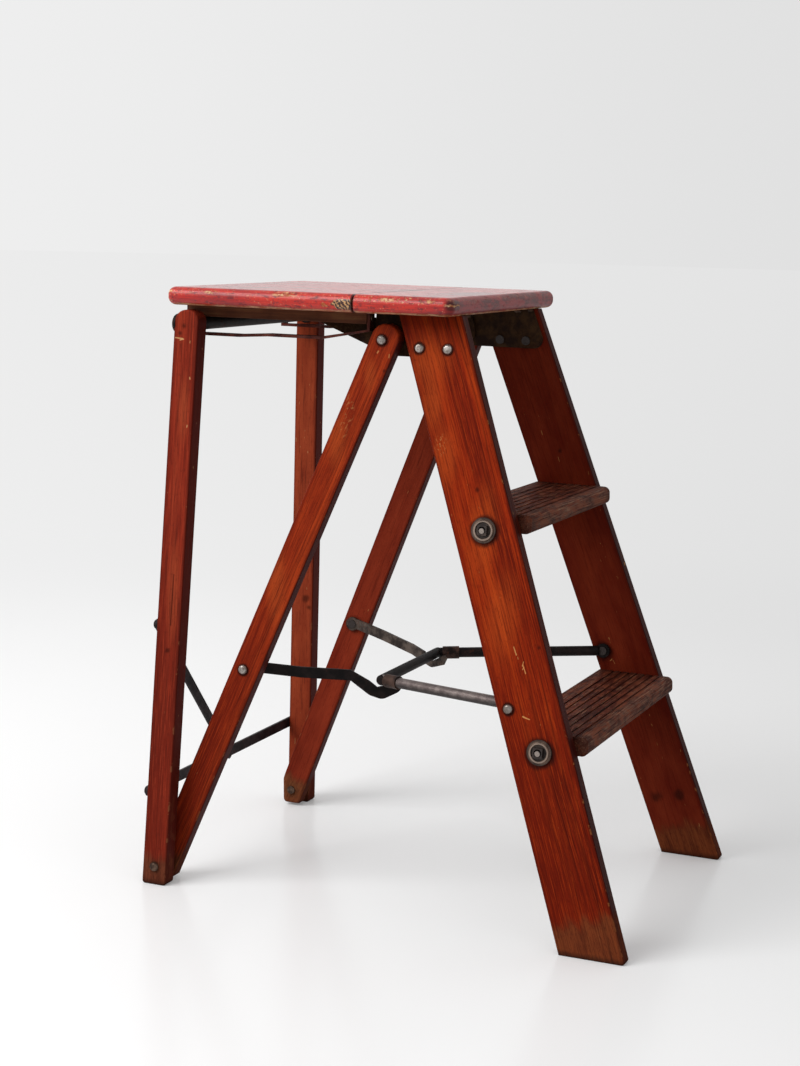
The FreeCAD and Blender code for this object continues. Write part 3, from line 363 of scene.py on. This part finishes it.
    pits = paint.noise(paint.vector(lane * 420.0, deep * 300.0, along * 240.0), 1.0, 3.0, 0.6)
    for y, z, tilt, length in plank["cracks"] if nearSide else []:
        line = paint.stroke(y, z, tilt, length) + (fine - 0.5) * 0.005
        colour = paint.mix(line.between(0.0012, 0.0002) * 0.8, colour, planks["crack"])
    worn = 0.0
    for y, z, tilt, length in strokes:
        line = paint.stroke(y, z, tilt, length) + (nicks - 0.5) * 0.0022
        worn = line.between(0.0008, 0.0002) * 0.85 + worn
    for y, z, wide, tall in plank["patches"] if nearSide else []:
        reach = paint.oval(y, z, wide, tall)
        worn = reach.between(1.1, 0.4) * pits.between(0.52, 0.62) * 0.45 + worn
    flecks = paint.noise(paint.vector(lane * 420.0, deep * 90.0, along * 85.0), 1.0, 2.0)
    worn = flecks.between(0.730, 0.775) * 0.5 + worn
    if nearSide:
        worn = worn * (1.0 - innerDirtAndShade)
    colour = paint.mix(worn * 0.85, colour, plank["scratch"])

    low = paint.z + (grime - 0.5) * 0.040 + (fine - 0.5) * 0.008
    low = low + across * plank["footTilt"]
    foot = low.between(plank["footHigh"] + 0.006, plank["footHigh"] - 0.010)
    dull = grime.between(0.44, 0.60) * 0.55 + fibre.between(0.50, 0.38) * 0.35
    footTone = paint.mix(dull, plank["foot"], plank["footDark"])
    soiled = lines * 0.40 + pores.between(0.48, 0.36) * 0.4
    footTone = paint.mix(soiled, footTone, plank["footDark"])
    footTone = paint.mix(fibre.between(0.56, 0.70) * 0.35, footTone, plank["bare"])
    colour = paint.mix(foot * (1.0 - faced * 0.6) * 0.84, colour, footTone)
    sole = (paint.z + (grime - 0.5) * 0.006).between(0.007, 0.001)
    colour = paint.mix(sole * 0.7, colour, planks["sole"])

    rough = plank["soft"] + grime * 0.16 + worn * 0.2 + foot * 0.3 + innerDirtAndShade * 0.1
    height = fine * 0.35 - lines * 0.35 - worn * 0.8 - foot * fibre * 0.6
    return paint.finish(colour, rough, 0.0, height, 0.00022)


for word, side in sides:
    seed = planks["seeds"][word]
    for node, kind, plank, more in (("front_stile_", "Stile", stile, 0.0),
                                    ("rear_brace_", "Brace", brace, planks["braceSeed"]),
                                    ("rear_leg_", "Leg", leg, planks["legSeed"])):
        wood = plankWood("stained" + kind + word.title(), plank, side, seed + more)
        dress([node + word], wood)
print("planks dressed")


# Seat boards

seatLow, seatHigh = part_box("seat_rear_board")
seat = {
    "bright": linear(208, 46, 30), "red": linear(176, 32, 30), "deep": linear(120, 20, 25),
    "scuff": linear(74, 34, 40), "wood": linear(232, 192, 146), "raw": linear(96, 64, 42),
    # face tones: painted shade for the boards' front face
    "face": linear(138, 34, 36), "faceDark": linear(72, 24, 28), "bruise": linear(58, 16, 16),
    "chipWood": linear(176, 96, 54), "rawDark": linear(52, 30, 20), "seam": linear(48, 16, 18),
    "endGrain": [(0.34, linear(40, 16, 12)), (0.56, linear(92, 46, 30)),
                 (0.82, linear(212, 164, 110))],
    "top": seatHigh.z, "half": seatHigh.x,
    "front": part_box("seat_front_board")[0].y, "back": seatHigh.y,
    "joint": (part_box("seat_front_board")[1].y + seatLow.y) / 2.0,
    "chipSpots": [(0.1200, 0.6068, 0.016, 0.0030), (0.0290, 0.6062, 0.002, 0.0030),
                  (0.0120, 0.6060, 0.012, 0.0026), (-0.0320, 0.6058, 0.008, 0.0018),
                  (0.0760, 0.5985, 0.004, 0.0022), (0.2000, 0.6060, 0.010, 0.0020)],
    "chipStrokes": [(-0.0690, 0.6052, 118, 0.007), (-0.0715, 0.6008, 80, 0.005),
                    (0.0765, 0.5990, 40, 0.005), (0.0790, 0.5985, 58, 0.003)],
}


def seatPaint(name, endGrain):
    # red gloss paint over wood: long grey scuffs, chips along the shoulder of
    # the near edge, a thin bare line along the lowest edge
    paint = Paint(name, 0.2)
    paint.shader.inputs["Coat Roughness"].default_value = 0.22
    paint.shader.inputs["Coat IOR"].default_value = 1.75
    x, y, z = paint.x, paint.y, paint.z
    broad = paint.stretched(9.0, 9.0, 40.0, 4.0)
    long = paint.stretched(40.0, 16.0, 190.0, 4.0, 0.6)
    fine = paint.stretched(260.0, 90.0, 420.0, 4.0, 0.6)
    grit = paint.stretched(400.0, 400.0, 400.0, 3.0, 0.6)
    warm = broad * 0.45 + long * 0.55 + y.between(0.19, 0.12) * 0.05 \
        - y.between(0.02, -0.04) * 0.07
    colour = paint.ramp(warm, [(0.38, seat["deep"]), (0.48, seat["red"]),
                               (0.60, seat["bright"])])
    scuffs = paint.stretched(120.0, 100.0, 330.0, 5.0, 0.7)
    scuffed = scuffs.between(0.53, 0.62) * (grit * 0.6 + long * 0.6).between(0.44, 0.64)
    colour = paint.mix(scuffed * 0.75, colour, seat["scuff"])
    streak = paint.stretched(30.0, 30.0, 900.0, 3.0, 0.6)
    colour = paint.mix(streak.between(0.50, 0.62) * 0.35, colour, seat["deep"])
    specks = grit.between(0.60, 0.68) * broad.between(0.38, 0.54)
    colour = paint.mix(specks * 0.6, colour, seat["scuff"])
    pale = grit.between(0.38, 0.31) * long.between(0.40, 0.54)
    colour = paint.mix(pale * 0.5, colour, seat["wood"])

    # painted shade: the boards' front face, turned away from the lamp, is darkened, with a real
    # mottle of darker smears
    fromFront = (y + (broad - 0.5) * 0.006).between(seat["front"] + 0.010,
                                                    seat["front"] + 0.004)
    smear = paint.stretched(46.0, 46.0, 150.0, 5.0, 0.7)
    faceTone = paint.mix(smear.between(0.42, 0.60), seat["face"], seat["faceDark"])
    colour = paint.mix(fromFront * 0.82, colour, faceTone)
    fromSide = abs(x).between(seat["half"] - 0.010, seat["half"] - 0.004)
    fromBack = y.between(seat["back"] - 0.010, seat["back"] - 0.004)
    rim = fromSide.most(fromFront).most(fromBack)

    chips = paint.stretched(230.0, 230.0, 330.0, 5.0, 0.66)
    shoulder = (z - (seat["top"] - 0.0052)).between(-0.0030, 0.0006) \
        * (z - (seat["top"] - 0.0010)).between(0.0008, -0.0010)
    forward = 0.25 + y.between(0.06, 0.02) * 0.75
    chipMask = chips.between(0.555, 0.595) * shoulder * rim * forward * (1.0 - fromFront * 0.8)
    near = (-x).between(seat["half"] - 0.012, seat["half"] - 0.006)
    corner = (-x).between(seat["half"] - 0.022, seat["half"] - 0.018)
    for chipY, chipZ, wide, tall in seat["chipSpots"]:
        spot = paint.oval(chipY, chipZ, wide, tall).between(1.1, 0.3)
        chipMask = spot * near * chips.between(0.46, 0.51) + chipMask
    for chipY, chipZ, tilt, length in seat["chipStrokes"]:
        line = paint.stroke(chipY, chipZ, tilt, length) + (chips - 0.5) * 0.003
        chipMask = line.between(0.0012, 0.0003) * corner + chipMask
    nick = abs(z - seat["top"] + 0.0072 + (chips - 0.5) * 0.006).between(0.0010, 0.0003)
    bruise = corner * fromFront
    chipMask = nick * bruise + chipMask
    bruised = bruise * abs(z - seat["top"] + 0.0070).between(0.0056, 0.0036)
    colour = paint.mix(bruised * 0.7, colour, seat["bruise"])
    bottom = (z + (long - 0.5) * 0.003).between(underSeat + 0.0026, underSeat + 0.0014) * rim
    chipMask = chipMask + bottom * grit.between(0.30, 0.46) * 0.85
    crescent = abs((abs(x) - seat["half"] + 0.0045) + (y - seat["back"] + 0.0015) * 0.5)
    chipMask = crescent.between(0.0011, 0.0003) * y.between(seat["back"] - 0.009,
                                                            seat["back"] - 0.006) \
        * z.between(seat["top"] - 0.016, seat["top"] - 0.011) + chipMask
    chipMask = chipMask.least(1.0)
    woodTone = paint.mix(fine.between(0.4, 0.6), seat["wood"], seat["chipWood"])
    colour = paint.mix(chipMask * 0.9, colour, woodTone)

    if endGrain:
        # bare end grain on the near edge beside the joint: slanted rough strokes
        patch = y + (chips - 0.5) * 0.012 + abs(z - seat["top"] + 0.0100) * 1.6
        bare = patch.between(seat["joint"] + 0.025, seat["joint"] + 0.021) * near
        bare = bare * abs(z - seat["top"] + 0.0102).between(0.0056, 0.0046)
        strokes = (y * 1500.0 - z * 1100.0 + chips * 16.0).wave() * 0.28 + grit * 1.1
        colour = paint.mix(bare, colour, paint.ramp(strokes, seat["endGrain"]))

    under = z.between(underSeat + 0.0010, underSeat + 0.0003)
    inner = (1.0 - rim) * under
    rawTone = paint.ramp(long, [(0.34, seat["rawDark"]), (0.66, seat["raw"])])
    colour = paint.mix(inner, colour, rawTone)
    seam = abs(y - seat["joint"]).between(0.0026, 0.0012)
    colour = paint.mix(seam * 0.8, colour, seat["seam"])

    bare = (chipMask + inner).least(1.0)
    rough = 0.40 + scuffed * 0.18 + bare * 0.3 + fine * 0.08
    dullEdge = rim * 0.70 + fromFront * 0.16
    coat = (1.0 - bare) * (0.95 - scuffed * 0.35) * (1.0 - dullEdge)
    height = long * 0.35 + fine * 0.2 - chipMask * 1.0 - scuffed * 0.3
    return paint.finish(colour, rough, 0.0, height, 0.0003, coat)


dress(["seat_front_board"], seatPaint("seatPaintFront", False))
dress(["seat_rear_board"], seatPaint("seatPaintRear", True))
print("seat dressed")


# Treads and battens

tread = {
    "brown": linear(82, 34, 22), "dark": linear(48, 20, 14), "light": linear(124, 66, 44),
    "grey": linear(112, 80, 66), "pale": linear(158, 116, 90), "crack": linear(22, 10, 8),
}


def treadWood(name, node):
    # worn unpainted wood: long grey fibres, dark cracks, a lighter rubbed nose,
    # and darker towards the ends where it meets the stiles
    low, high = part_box(node)
    paint = Paint(name, 0.05)
    grain = paint.stretched(7.0, 260.0, 260.0, 4.0, 0.6)
    broad = paint.stretched(16.0, 44.0, 44.0, 4.0, 0.6)
    thread = paint.stretched(30.0, 900.0, 900.0)
    colour = paint.ramp(grain * 0.5 + broad * 0.5,
                        [(0.34, tread["dark"]), (0.50, tread["brown"]), (0.66, tread["light"])])
    nose = (paint.y + (broad - 0.5) * 0.012).between(low.y + 0.014, low.y + 0.004)
    colour = paint.mix(nose * thread.between(0.36, 0.58) * 0.75, colour, tread["grey"])
    rubbed = broad.between(0.50, 0.66) * thread.between(0.44, 0.62)
    colour = paint.mix(rubbed * 0.5, colour, tread["grey"])
    colour = paint.mix(thread.between(0.58, 0.68) * 0.75, colour, tread["pale"])
    wear = paint.stretched(60.0, 130.0, 130.0, 5.0, 0.66)
    colour = paint.mix(wear.between(0.50, 0.60) * 0.60, colour, tread["light"])
    colour = paint.mix(wear.between(0.48, 0.38) * 0.55, colour, tread["dark"])
    cracked = paint.stretched(8.0, 460.0, 460.0).between(0.60, 0.68)
    colour = paint.mix(cracked * 0.75, colour, tread["crack"])
    groove = paint.z.between(high.z - 0.0003, high.z - 0.0011) \
        * paint.z.between(high.z - 0.0040, high.z - 0.0020)
    colour = paint.mix(groove * 0.5 * (1.0 - nose), colour, tread["crack"])
    ends = abs(paint.x).between(high.x - 0.020, high.x - 0.004) * 0.55
    colour = paint.mix(ends, colour, tread["dark"])
    lower = paint.z.between(high.z - 0.010, low.z + 0.001)
    colour = paint.mix(lower * 0.35, colour, tread["dark"])
    rough = 0.50 + grain * 0.2 + nose * 0.08
    height = grain * 0.4 + thread * 0.35 - cracked * 0.9
    return paint.finish(colour, rough, 0.0, height, 0.0005)


dress(["lower_tread"], treadWood("lowerTreadWood", "lower_tread"))
dress(["upper_tread"], treadWood("upperTreadWood", "upper_tread"))

batten = {
    "dark": linear(70, 36, 23), "brown": linear(116, 66, 43), "pale": linear(150, 106, 66),
    "grime": linear(40, 20, 14),
}


def rawWood():
    # old unpainted batten, brown going to black with age
    paint = Paint("agedBatten", 0.12)
    grain = paint.stretched(260.0, 9.0, 260.0, 5.0, 0.6)
    broad = paint.noise(paint.place, 22.0, 3.0, 0.6)
    colour = paint.ramp(grain * 0.6 + broad * 0.4,
                        [(0.34, batten["dark"]), (0.52, batten["brown"]),
                         (0.70, batten["pale"])])
    low = paint.z.between(underSeat - 0.004, underSeat - 0.012)
    colour = paint.mix(low * 0.4, colour, batten["grime"])
    rough = 0.58 + grain * 0.2
    return paint.finish(colour, rough, 0.0, grain, 0.0004)


dress(["seat_cleat_left", "seat_cleat_right"], rawWood())
print("treads and battens dressed")


# Metal

metals = {
    "blackIron": {"low": linear(12, 8, 8), "high": linear(34, 26, 25),
                  "rust": linear(66, 38, 30), "rusty": 0.64, "shine": 0.50, "metal": 0.1},
    "wornIron": {"low": linear(44, 36, 33), "high": linear(100, 88, 80),
                 "rust": linear(74, 44, 34), "rusty": 0.60, "shine": 0.42, "metal": 0.4},
    "foldIron": {"low": linear(30, 21, 19), "high": linear(82, 62, 54),
                 "rust": linear(84, 48, 36), "rusty": 0.58, "shine": 0.42, "metal": 0.4},
    "greyRod": {"low": linear(104, 92, 90), "high": linear(138, 126, 122),
                "rust": linear(92, 66, 54), "rusty": 0.64, "shine": 0.30, "metal": 0.75,
                # grime: painted shade for the rod's underside
                "grime": linear(34, 27, 26), "scrape": linear(72, 62, 60)},
    "braceIron": {"low": linear(24, 19, 21), "high": linear(56, 48, 50),
                  "rust": linear(70, 42, 34), "rusty": 0.62, "shine": 0.48, "metal": 0.3},
    "plateIron": {"low": linear(34, 17, 9), "high": linear(72, 48, 26),
                  "rust": linear(52, 28, 18), "rusty": 0.56, "shine": 0.58, "metal": 0.2},
    "guideIron": {"low": linear(58, 26, 24), "high": linear(108, 58, 48),
                  "rust": linear(88, 40, 32), "rusty": 0.52, "shine": 0.46, "metal": 0.2},
    "pewter": {"low": linear(50, 36, 30), "high": linear(118, 96, 82),
               "rust": linear(70, 46, 38), "rusty": 0.62, "shine": 0.34, "metal": 0.6},
    "rivet": {"low": linear(118, 108, 100), "high": linear(200, 194, 188),
              "rust": linear(92, 60, 44), "rusty": 0.60, "shine": 0.24, "metal": 0.85,
              "dull": linear(70, 58, 52), "hidden": linear(30, 15, 9)},
}
washer = {  # pairs of radii between which each ring fades, and the rings' colours
    "dish": (0.0084, 0.0070), "rodEnd": (0.0030, 0.0022), "lip": 0.0088, "rim": (0.0102, 0.0120),
    "dishTone": linear(26, 20, 20), "rodTone": linear(150, 138, 130),
    "lipHighlight": linear(168, 148, 134), "rimTone": linear(36, 26, 23),
}


def ironTone(paint, look):
    # clouded metal with grit and patches of rust; gives colour, rust and grit
    cloud = paint.noise(paint.place, 70.0, 5.0, 0.6)
    grit = paint.noise(paint.place, 420.0, 3.0, 0.6)
    colour = paint.mix(cloud.between(0.36, 0.66), look["low"], look["high"])
    rust = (cloud * 0.5 + grit * 0.5).between(look["rusty"] - 0.10, look["rusty"])
    rust = rust * paint.noise(paint.place, 24.0, 3.0, 0.6).between(0.44, 0.60)
    return paint.mix(rust * 0.8, colour, look["rust"]), rust, grit, cloud


def oldMetal(name):
    look = metals[name]
    paint = Paint(name, 0.12)
    colour, rust, grit, cloud = ironTone(paint, look)
    metal = (1.0 - rust * 0.8) * look["metal"]
    rough = look["shine"] + grit * 0.16 + rust * 0.3
    return paint.finish(colour, rough, metal, cloud * 0.5 + grit * 0.5 + rust * 0.4, 0.00022)


def rodSteel(name):
    # rubbed grey along the top; the underside goes black as painted shade
    look = metals["greyRod"]
    paint = Paint(name, 0.4)
    colour, rust, grit, cloud = ironTone(paint, look)
    pivot, bar = middle("bail_pivot_left"), middle("spreader_cross_bar")
    slope = (bar.z - pivot.z) / (bar.y - pivot.y)
    # painted shade: below the rod's axis the colour goes to near black and the metal dulls
    high = paint.z - (paint.y - pivot.y) * slope - pivot.z + (cloud - 0.5) * 0.003
    under = high.between(0.0022, -0.0024)
    colour = paint.mix(under * 0.85, colour, look["grime"])
    scrape = paint.stretched(900.0, 60.0, 900.0)
    colour = paint.mix(scrape.between(0.52, 0.66) * 0.5, colour, look["scrape"])
    metal = (1.0 - rust * 0.8) * (1.0 - under * 0.6) * look["metal"]
    rough = look["shine"] + grit * 0.16 + rust * 0.3 + under * 0.2
    return paint.finish(colour, rough, metal, cloud * 0.5 + grit * 0.5, 0.0002)


def rivetSteel(name, outside, dull):
    # bright domed heads; past the wood, on the inside, the ends are black
    look = metals["rivet"]
    paint = Paint(name, 0.5)
    colour, rust, grit, cloud = ironTone(paint, look)
    colour = paint.mix(dull, colour, look["dull"])
    hidden = abs(paint.x).between(outside - 0.004, outside - 0.008)
    colour = paint.mix(hidden, colour, look["hidden"])
    metal = (1.0 - rust * 0.8) * (look["metal"] - hidden * 0.8)
    rough = look["shine"] + grit * 0.14 + rust * 0.3 + hidden * 0.25
    return paint.finish(colour, rough, metal, cloud * 0.4 + grit * 0.5, 0.00014)


def washerSteel(name, rods):
    # pewter rim, dark dished middle, a painted highlight ringing the lip; the rod's end in its
    # centre is bright
    look = metals["pewter"]
    paint = Paint(name, 0.5)
    colour, rust, grit, cloud = ironTone(paint, look)
    reach = None
    for rod in rods:
        spot = paint.away(middle(rod).y, middle(rod).z)
        reach = spot if reach is None else reach.least(spot)
    dished = reach.between(*washer["dish"])
    colour = paint.mix(dished * 0.75, colour, washer["dishTone"])
    colour = paint.mix(reach.between(*washer["rodEnd"]), colour, washer["rodTone"])
    # painted highlight: a bright ring along the raised lip
    lip = abs(reach - washer["lip"]).between(0.0010, 0.0003)
    colour = paint.mix(lip * 0.6, colour, washer["lipHighlight"])
    outer = reach.between(*washer["rim"])
    colour = paint.mix(outer * 0.75, colour, washer["rimTone"])
    metal = (1.0 - rust * 0.8) * (look["metal"] - dished * 0.2)
    rough = look["shine"] + grit * 0.16 + rust * 0.3 + dished * 0.1
    return paint.finish(colour, rough, metal, cloud * 0.5 + grit * 0.5, 0.0002)


finishes = {
    "blackIron": ["spreader_arm_left", "rear_axle", "axle_collars", "axle_bolts",
                  "spreader_cross_bar", "spreader_rod_right"],
    "wornIron": ["spreader_arm_right"],
    "foldIron": ["spreader_sleeve_left", "spreader_sleeve_right"],
    "braceIron": ["back_brace_bar", "back_brace_strut", "brace_bolts"],
    "pewter": ["foot_pivot_left", "foot_pivot_right", "foot_spacers", "pivot_washers",
               "bracket_screws", "seat_screws"],
    "plateIron": ["top_bracket_left", "top_bracket_right", "seat_hinge_plate_left",
                  "seat_hinge_plate_right"],
    "guideIron": ["axle_guide_left", "axle_guide_right"],
}
for name, wearers in finishes.items():
    dress(wearers, oldMetal(name))
dress(["tie_rod_washers", "tie_rod_nuts", "lower_tie_rod", "upper_tie_rod"],
      washerSteel("washerSteel", ["lower_tie_rod", "upper_tie_rod"]))
for name in ("bracket_rivets", "main_pivot_left", "main_pivot_right", "arm_pivot_left",
             "arm_pivot_right", "bail_pivot_left", "bail_pivot_right"):
    low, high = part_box(name)
    outside = max(abs(low.x), abs(high.x))
    dull = 0.05 if name == "bracket_rivets" else 0.42
    dress([name], rivetSteel("rivetSteel_" + name, outside, dull))
dress(["spreader_rod_left"], rodSteel("greyRod"))
print("metal dressed")


# Floor, light and camera

studio = {"size": 30.0, "rings": 14, "spokes": 48, "floor": 0.93, "bounce": 0.42,
          "wall": 0.86, "world": 0.58, "fade": 0.13, "haze": 0.16,
          "wallFrom": 0.8, "wallFull": 2.3, "aim": (0.0, 0.0, 0.3)}
view = {"at": (-1.9487, -0.7606, 0.6865), "azimuth": -67.29, "elevation": 8.85, "roll": 1.49,
        "focal": 2044.48, "high": 1066.0, "sensor": 36.0, "clip": 50.0}
azimuth = math.radians(view["azimuth"])


def paleFloor():
    # a wide flat disc: each ring's radius is the square of its share of the
    # rings, times the size, so that they lie closer together near the object
    spokes = studio["spokes"]
    reach = np.linspace(0.0, 1.0, studio["rings"] + 1)[1:] ** 2 * studio["size"]
    turn = np.arange(spokes) * 2.0 * math.pi / spokes
    points = np.zeros((len(reach), spokes, 3))
    points[:, :, 0] = reach[:, None] * np.cos(turn)
    points[:, :, 1] = reach[:, None] * np.sin(turn)
    index = np.arange(len(reach) * spokes).reshape(len(reach), spokes)
    later = np.roll(index, -1, axis=1)
    faces = np.stack([index[:-1], index[1:], later[1:], later[:-1]], axis=-1)
    mesh = bpy.data.meshes.new("studioFloor")
    mesh.from_pydata(points.reshape(-1, 3).tolist(), [],
                     [index[0].tolist()] + faces.reshape(-1, 4).tolist())
    floor = bpy.data.objects.new("studioFloor", mesh)
    bpy.context.scene.collection.objects.link(floor)
    return floor


def seenRays(tree):
    # 1 for camera, glossy and transmitted rays, which see the pale studio, and
    # 0 for the rays that light the object
    rays = tree.nodes.new("ShaderNodeLightPath")
    seen = rays.outputs["Is Camera Ray"]
    for other in ("Is Glossy Ray", "Is Transmission Ray"):
        most = tree.nodes.new("ShaderNodeMath")
        most.operation = "MAXIMUM"
        tree.links.new(seen, most.inputs[0])
        tree.links.new(rays.outputs[other], most.inputs[1])
        seen = most.outputs[0]
    return seen


def floorFinish():
    # the floor takes the shadow; further out it turns into the even pale glow
    # of the world behind it, and the light thins out a little to the right
    paint = Paint("studioWhite", 0.0)
    paint.shader.inputs["Coat Roughness"].default_value = 0.22
    seen = Shade(paint, seenRays(paint.tree))
    reach = (paint.x * paint.x + paint.y * paint.y).root()
    toRight = (paint.x * math.cos(azimuth) + paint.y * math.sin(azimuth)) / reach.most(1.4)
    fade = 1.0 - toRight.between(-0.5, 0.5) * studio["fade"]
    wall = reach.between(studio["wallFrom"], studio["wallFull"])
    floor, bounce = studio["floor"], studio["bounce"]
    tone = (seen * (floor - bounce) + bounce) * (1.0 - wall * seen) * fade
    colour = paint.node("ShaderNodeCombineColor", {}, {0: tone, 1: tone, 2: tone})
    glow = (wall * (studio["wall"] - studio["haze"]) + studio["haze"]) * seen * fade
    white = paint.node("ShaderNodeCombineColor", {}, {0: glow, 1: glow, 2: glow})
    paint.tree.links.new(white.socket, paint.shader.inputs["Emission Color"])
    paint.shader.inputs["Emission Strength"].default_value = 1.0
    return paint.finish(colour, 0.6, 0.0, None, 0.0, (1.0 - wall) * 0.6)


floor = paleFloor()
floor.data.materials.append(floorFinish())


class Sky(Paint):
    # the same sums for the world's own nodes

    def __init__(self, world):
        self.tree = world.node_tree


world = bpy.data.worlds.new("studioWorld")
world.use_nodes = True
bpy.context.scene.world = world
backdrop = world.node_tree.nodes["Background"]
backdrop.inputs["Color"].default_value = (1.0, 1.0, 1.0, 1.0)
sky = Sky(world)
facing = world.node_tree.nodes.new("ShaderNodeSeparateXYZ")
world.node_tree.links.new(sky.node("ShaderNodeTexCoord", {}, {}, "Generated").socket,
                          facing.inputs[0])
skyRight = Shade(sky, facing.outputs["X"]) * math.cos(azimuth) \
    + Shade(sky, facing.outputs["Y"]) * math.sin(azimuth)
# painted shade: the glow seen by camera and glossy rays dims a little towards the right
glow = (1.0 - skyRight.between(-0.25, 0.25) * studio["fade"]) * studio["wall"]
level = (glow - studio["world"]) * Shade(sky, seenRays(world.node_tree)) + studio["world"]
world.node_tree.links.new(level.socket, backdrop.inputs["Strength"])

lamps = {"window": {"at": (-2.0, 1.7, 2.3), "size": 2.0, "power": 68.0}}
for name, lamp in lamps.items():
    light = bpy.data.lights.new(name, "AREA")
    light.energy = lamp["power"]
    light.size = lamp["size"]
    holder = bpy.data.objects.new(name, light)
    bpy.context.scene.collection.objects.link(holder)
    holder.location = lamp["at"]
    aim = Vector(studio["aim"]) - Vector(lamp["at"])
    holder.rotation_euler = aim.to_track_quat("-Z", "Y").to_euler()

elevation = math.radians(view["elevation"])
roll = math.radians(view["roll"])
right = Vector((math.cos(azimuth), math.sin(azimuth), 0.0))
back = Vector((math.sin(azimuth) * math.cos(elevation),
               -math.cos(azimuth) * math.cos(elevation), math.sin(elevation)))
up = back.cross(right)
rolledRight = right * math.cos(roll) + up * math.sin(roll)
rolledUp = up * math.cos(roll) - right * math.sin(roll)
lens = bpy.data.cameras.new("camera")
lens.sensor_fit = "VERTICAL"
lens.sensor_height = view["sensor"]
lens.lens = view["focal"] / view["high"] * view["sensor"]
lens.clip_end = view["clip"]
camera = bpy.data.objects.new("camera", lens)
bpy.context.scene.collection.objects.link(camera)
camera.matrix_world = Matrix((
    (rolledRight.x, rolledUp.x, back.x, view["at"][0]),
    (rolledRight.y, rolledUp.y, back.y, view["at"][1]),
    (rolledRight.z, rolledUp.z, back.z, view["at"][2]),
    (0.0, 0.0, 0.0, 1.0)))
bpy.context.scene.camera = camera
bpy.context.scene.view_settings.view_transform = "Standard"
print("studio set")
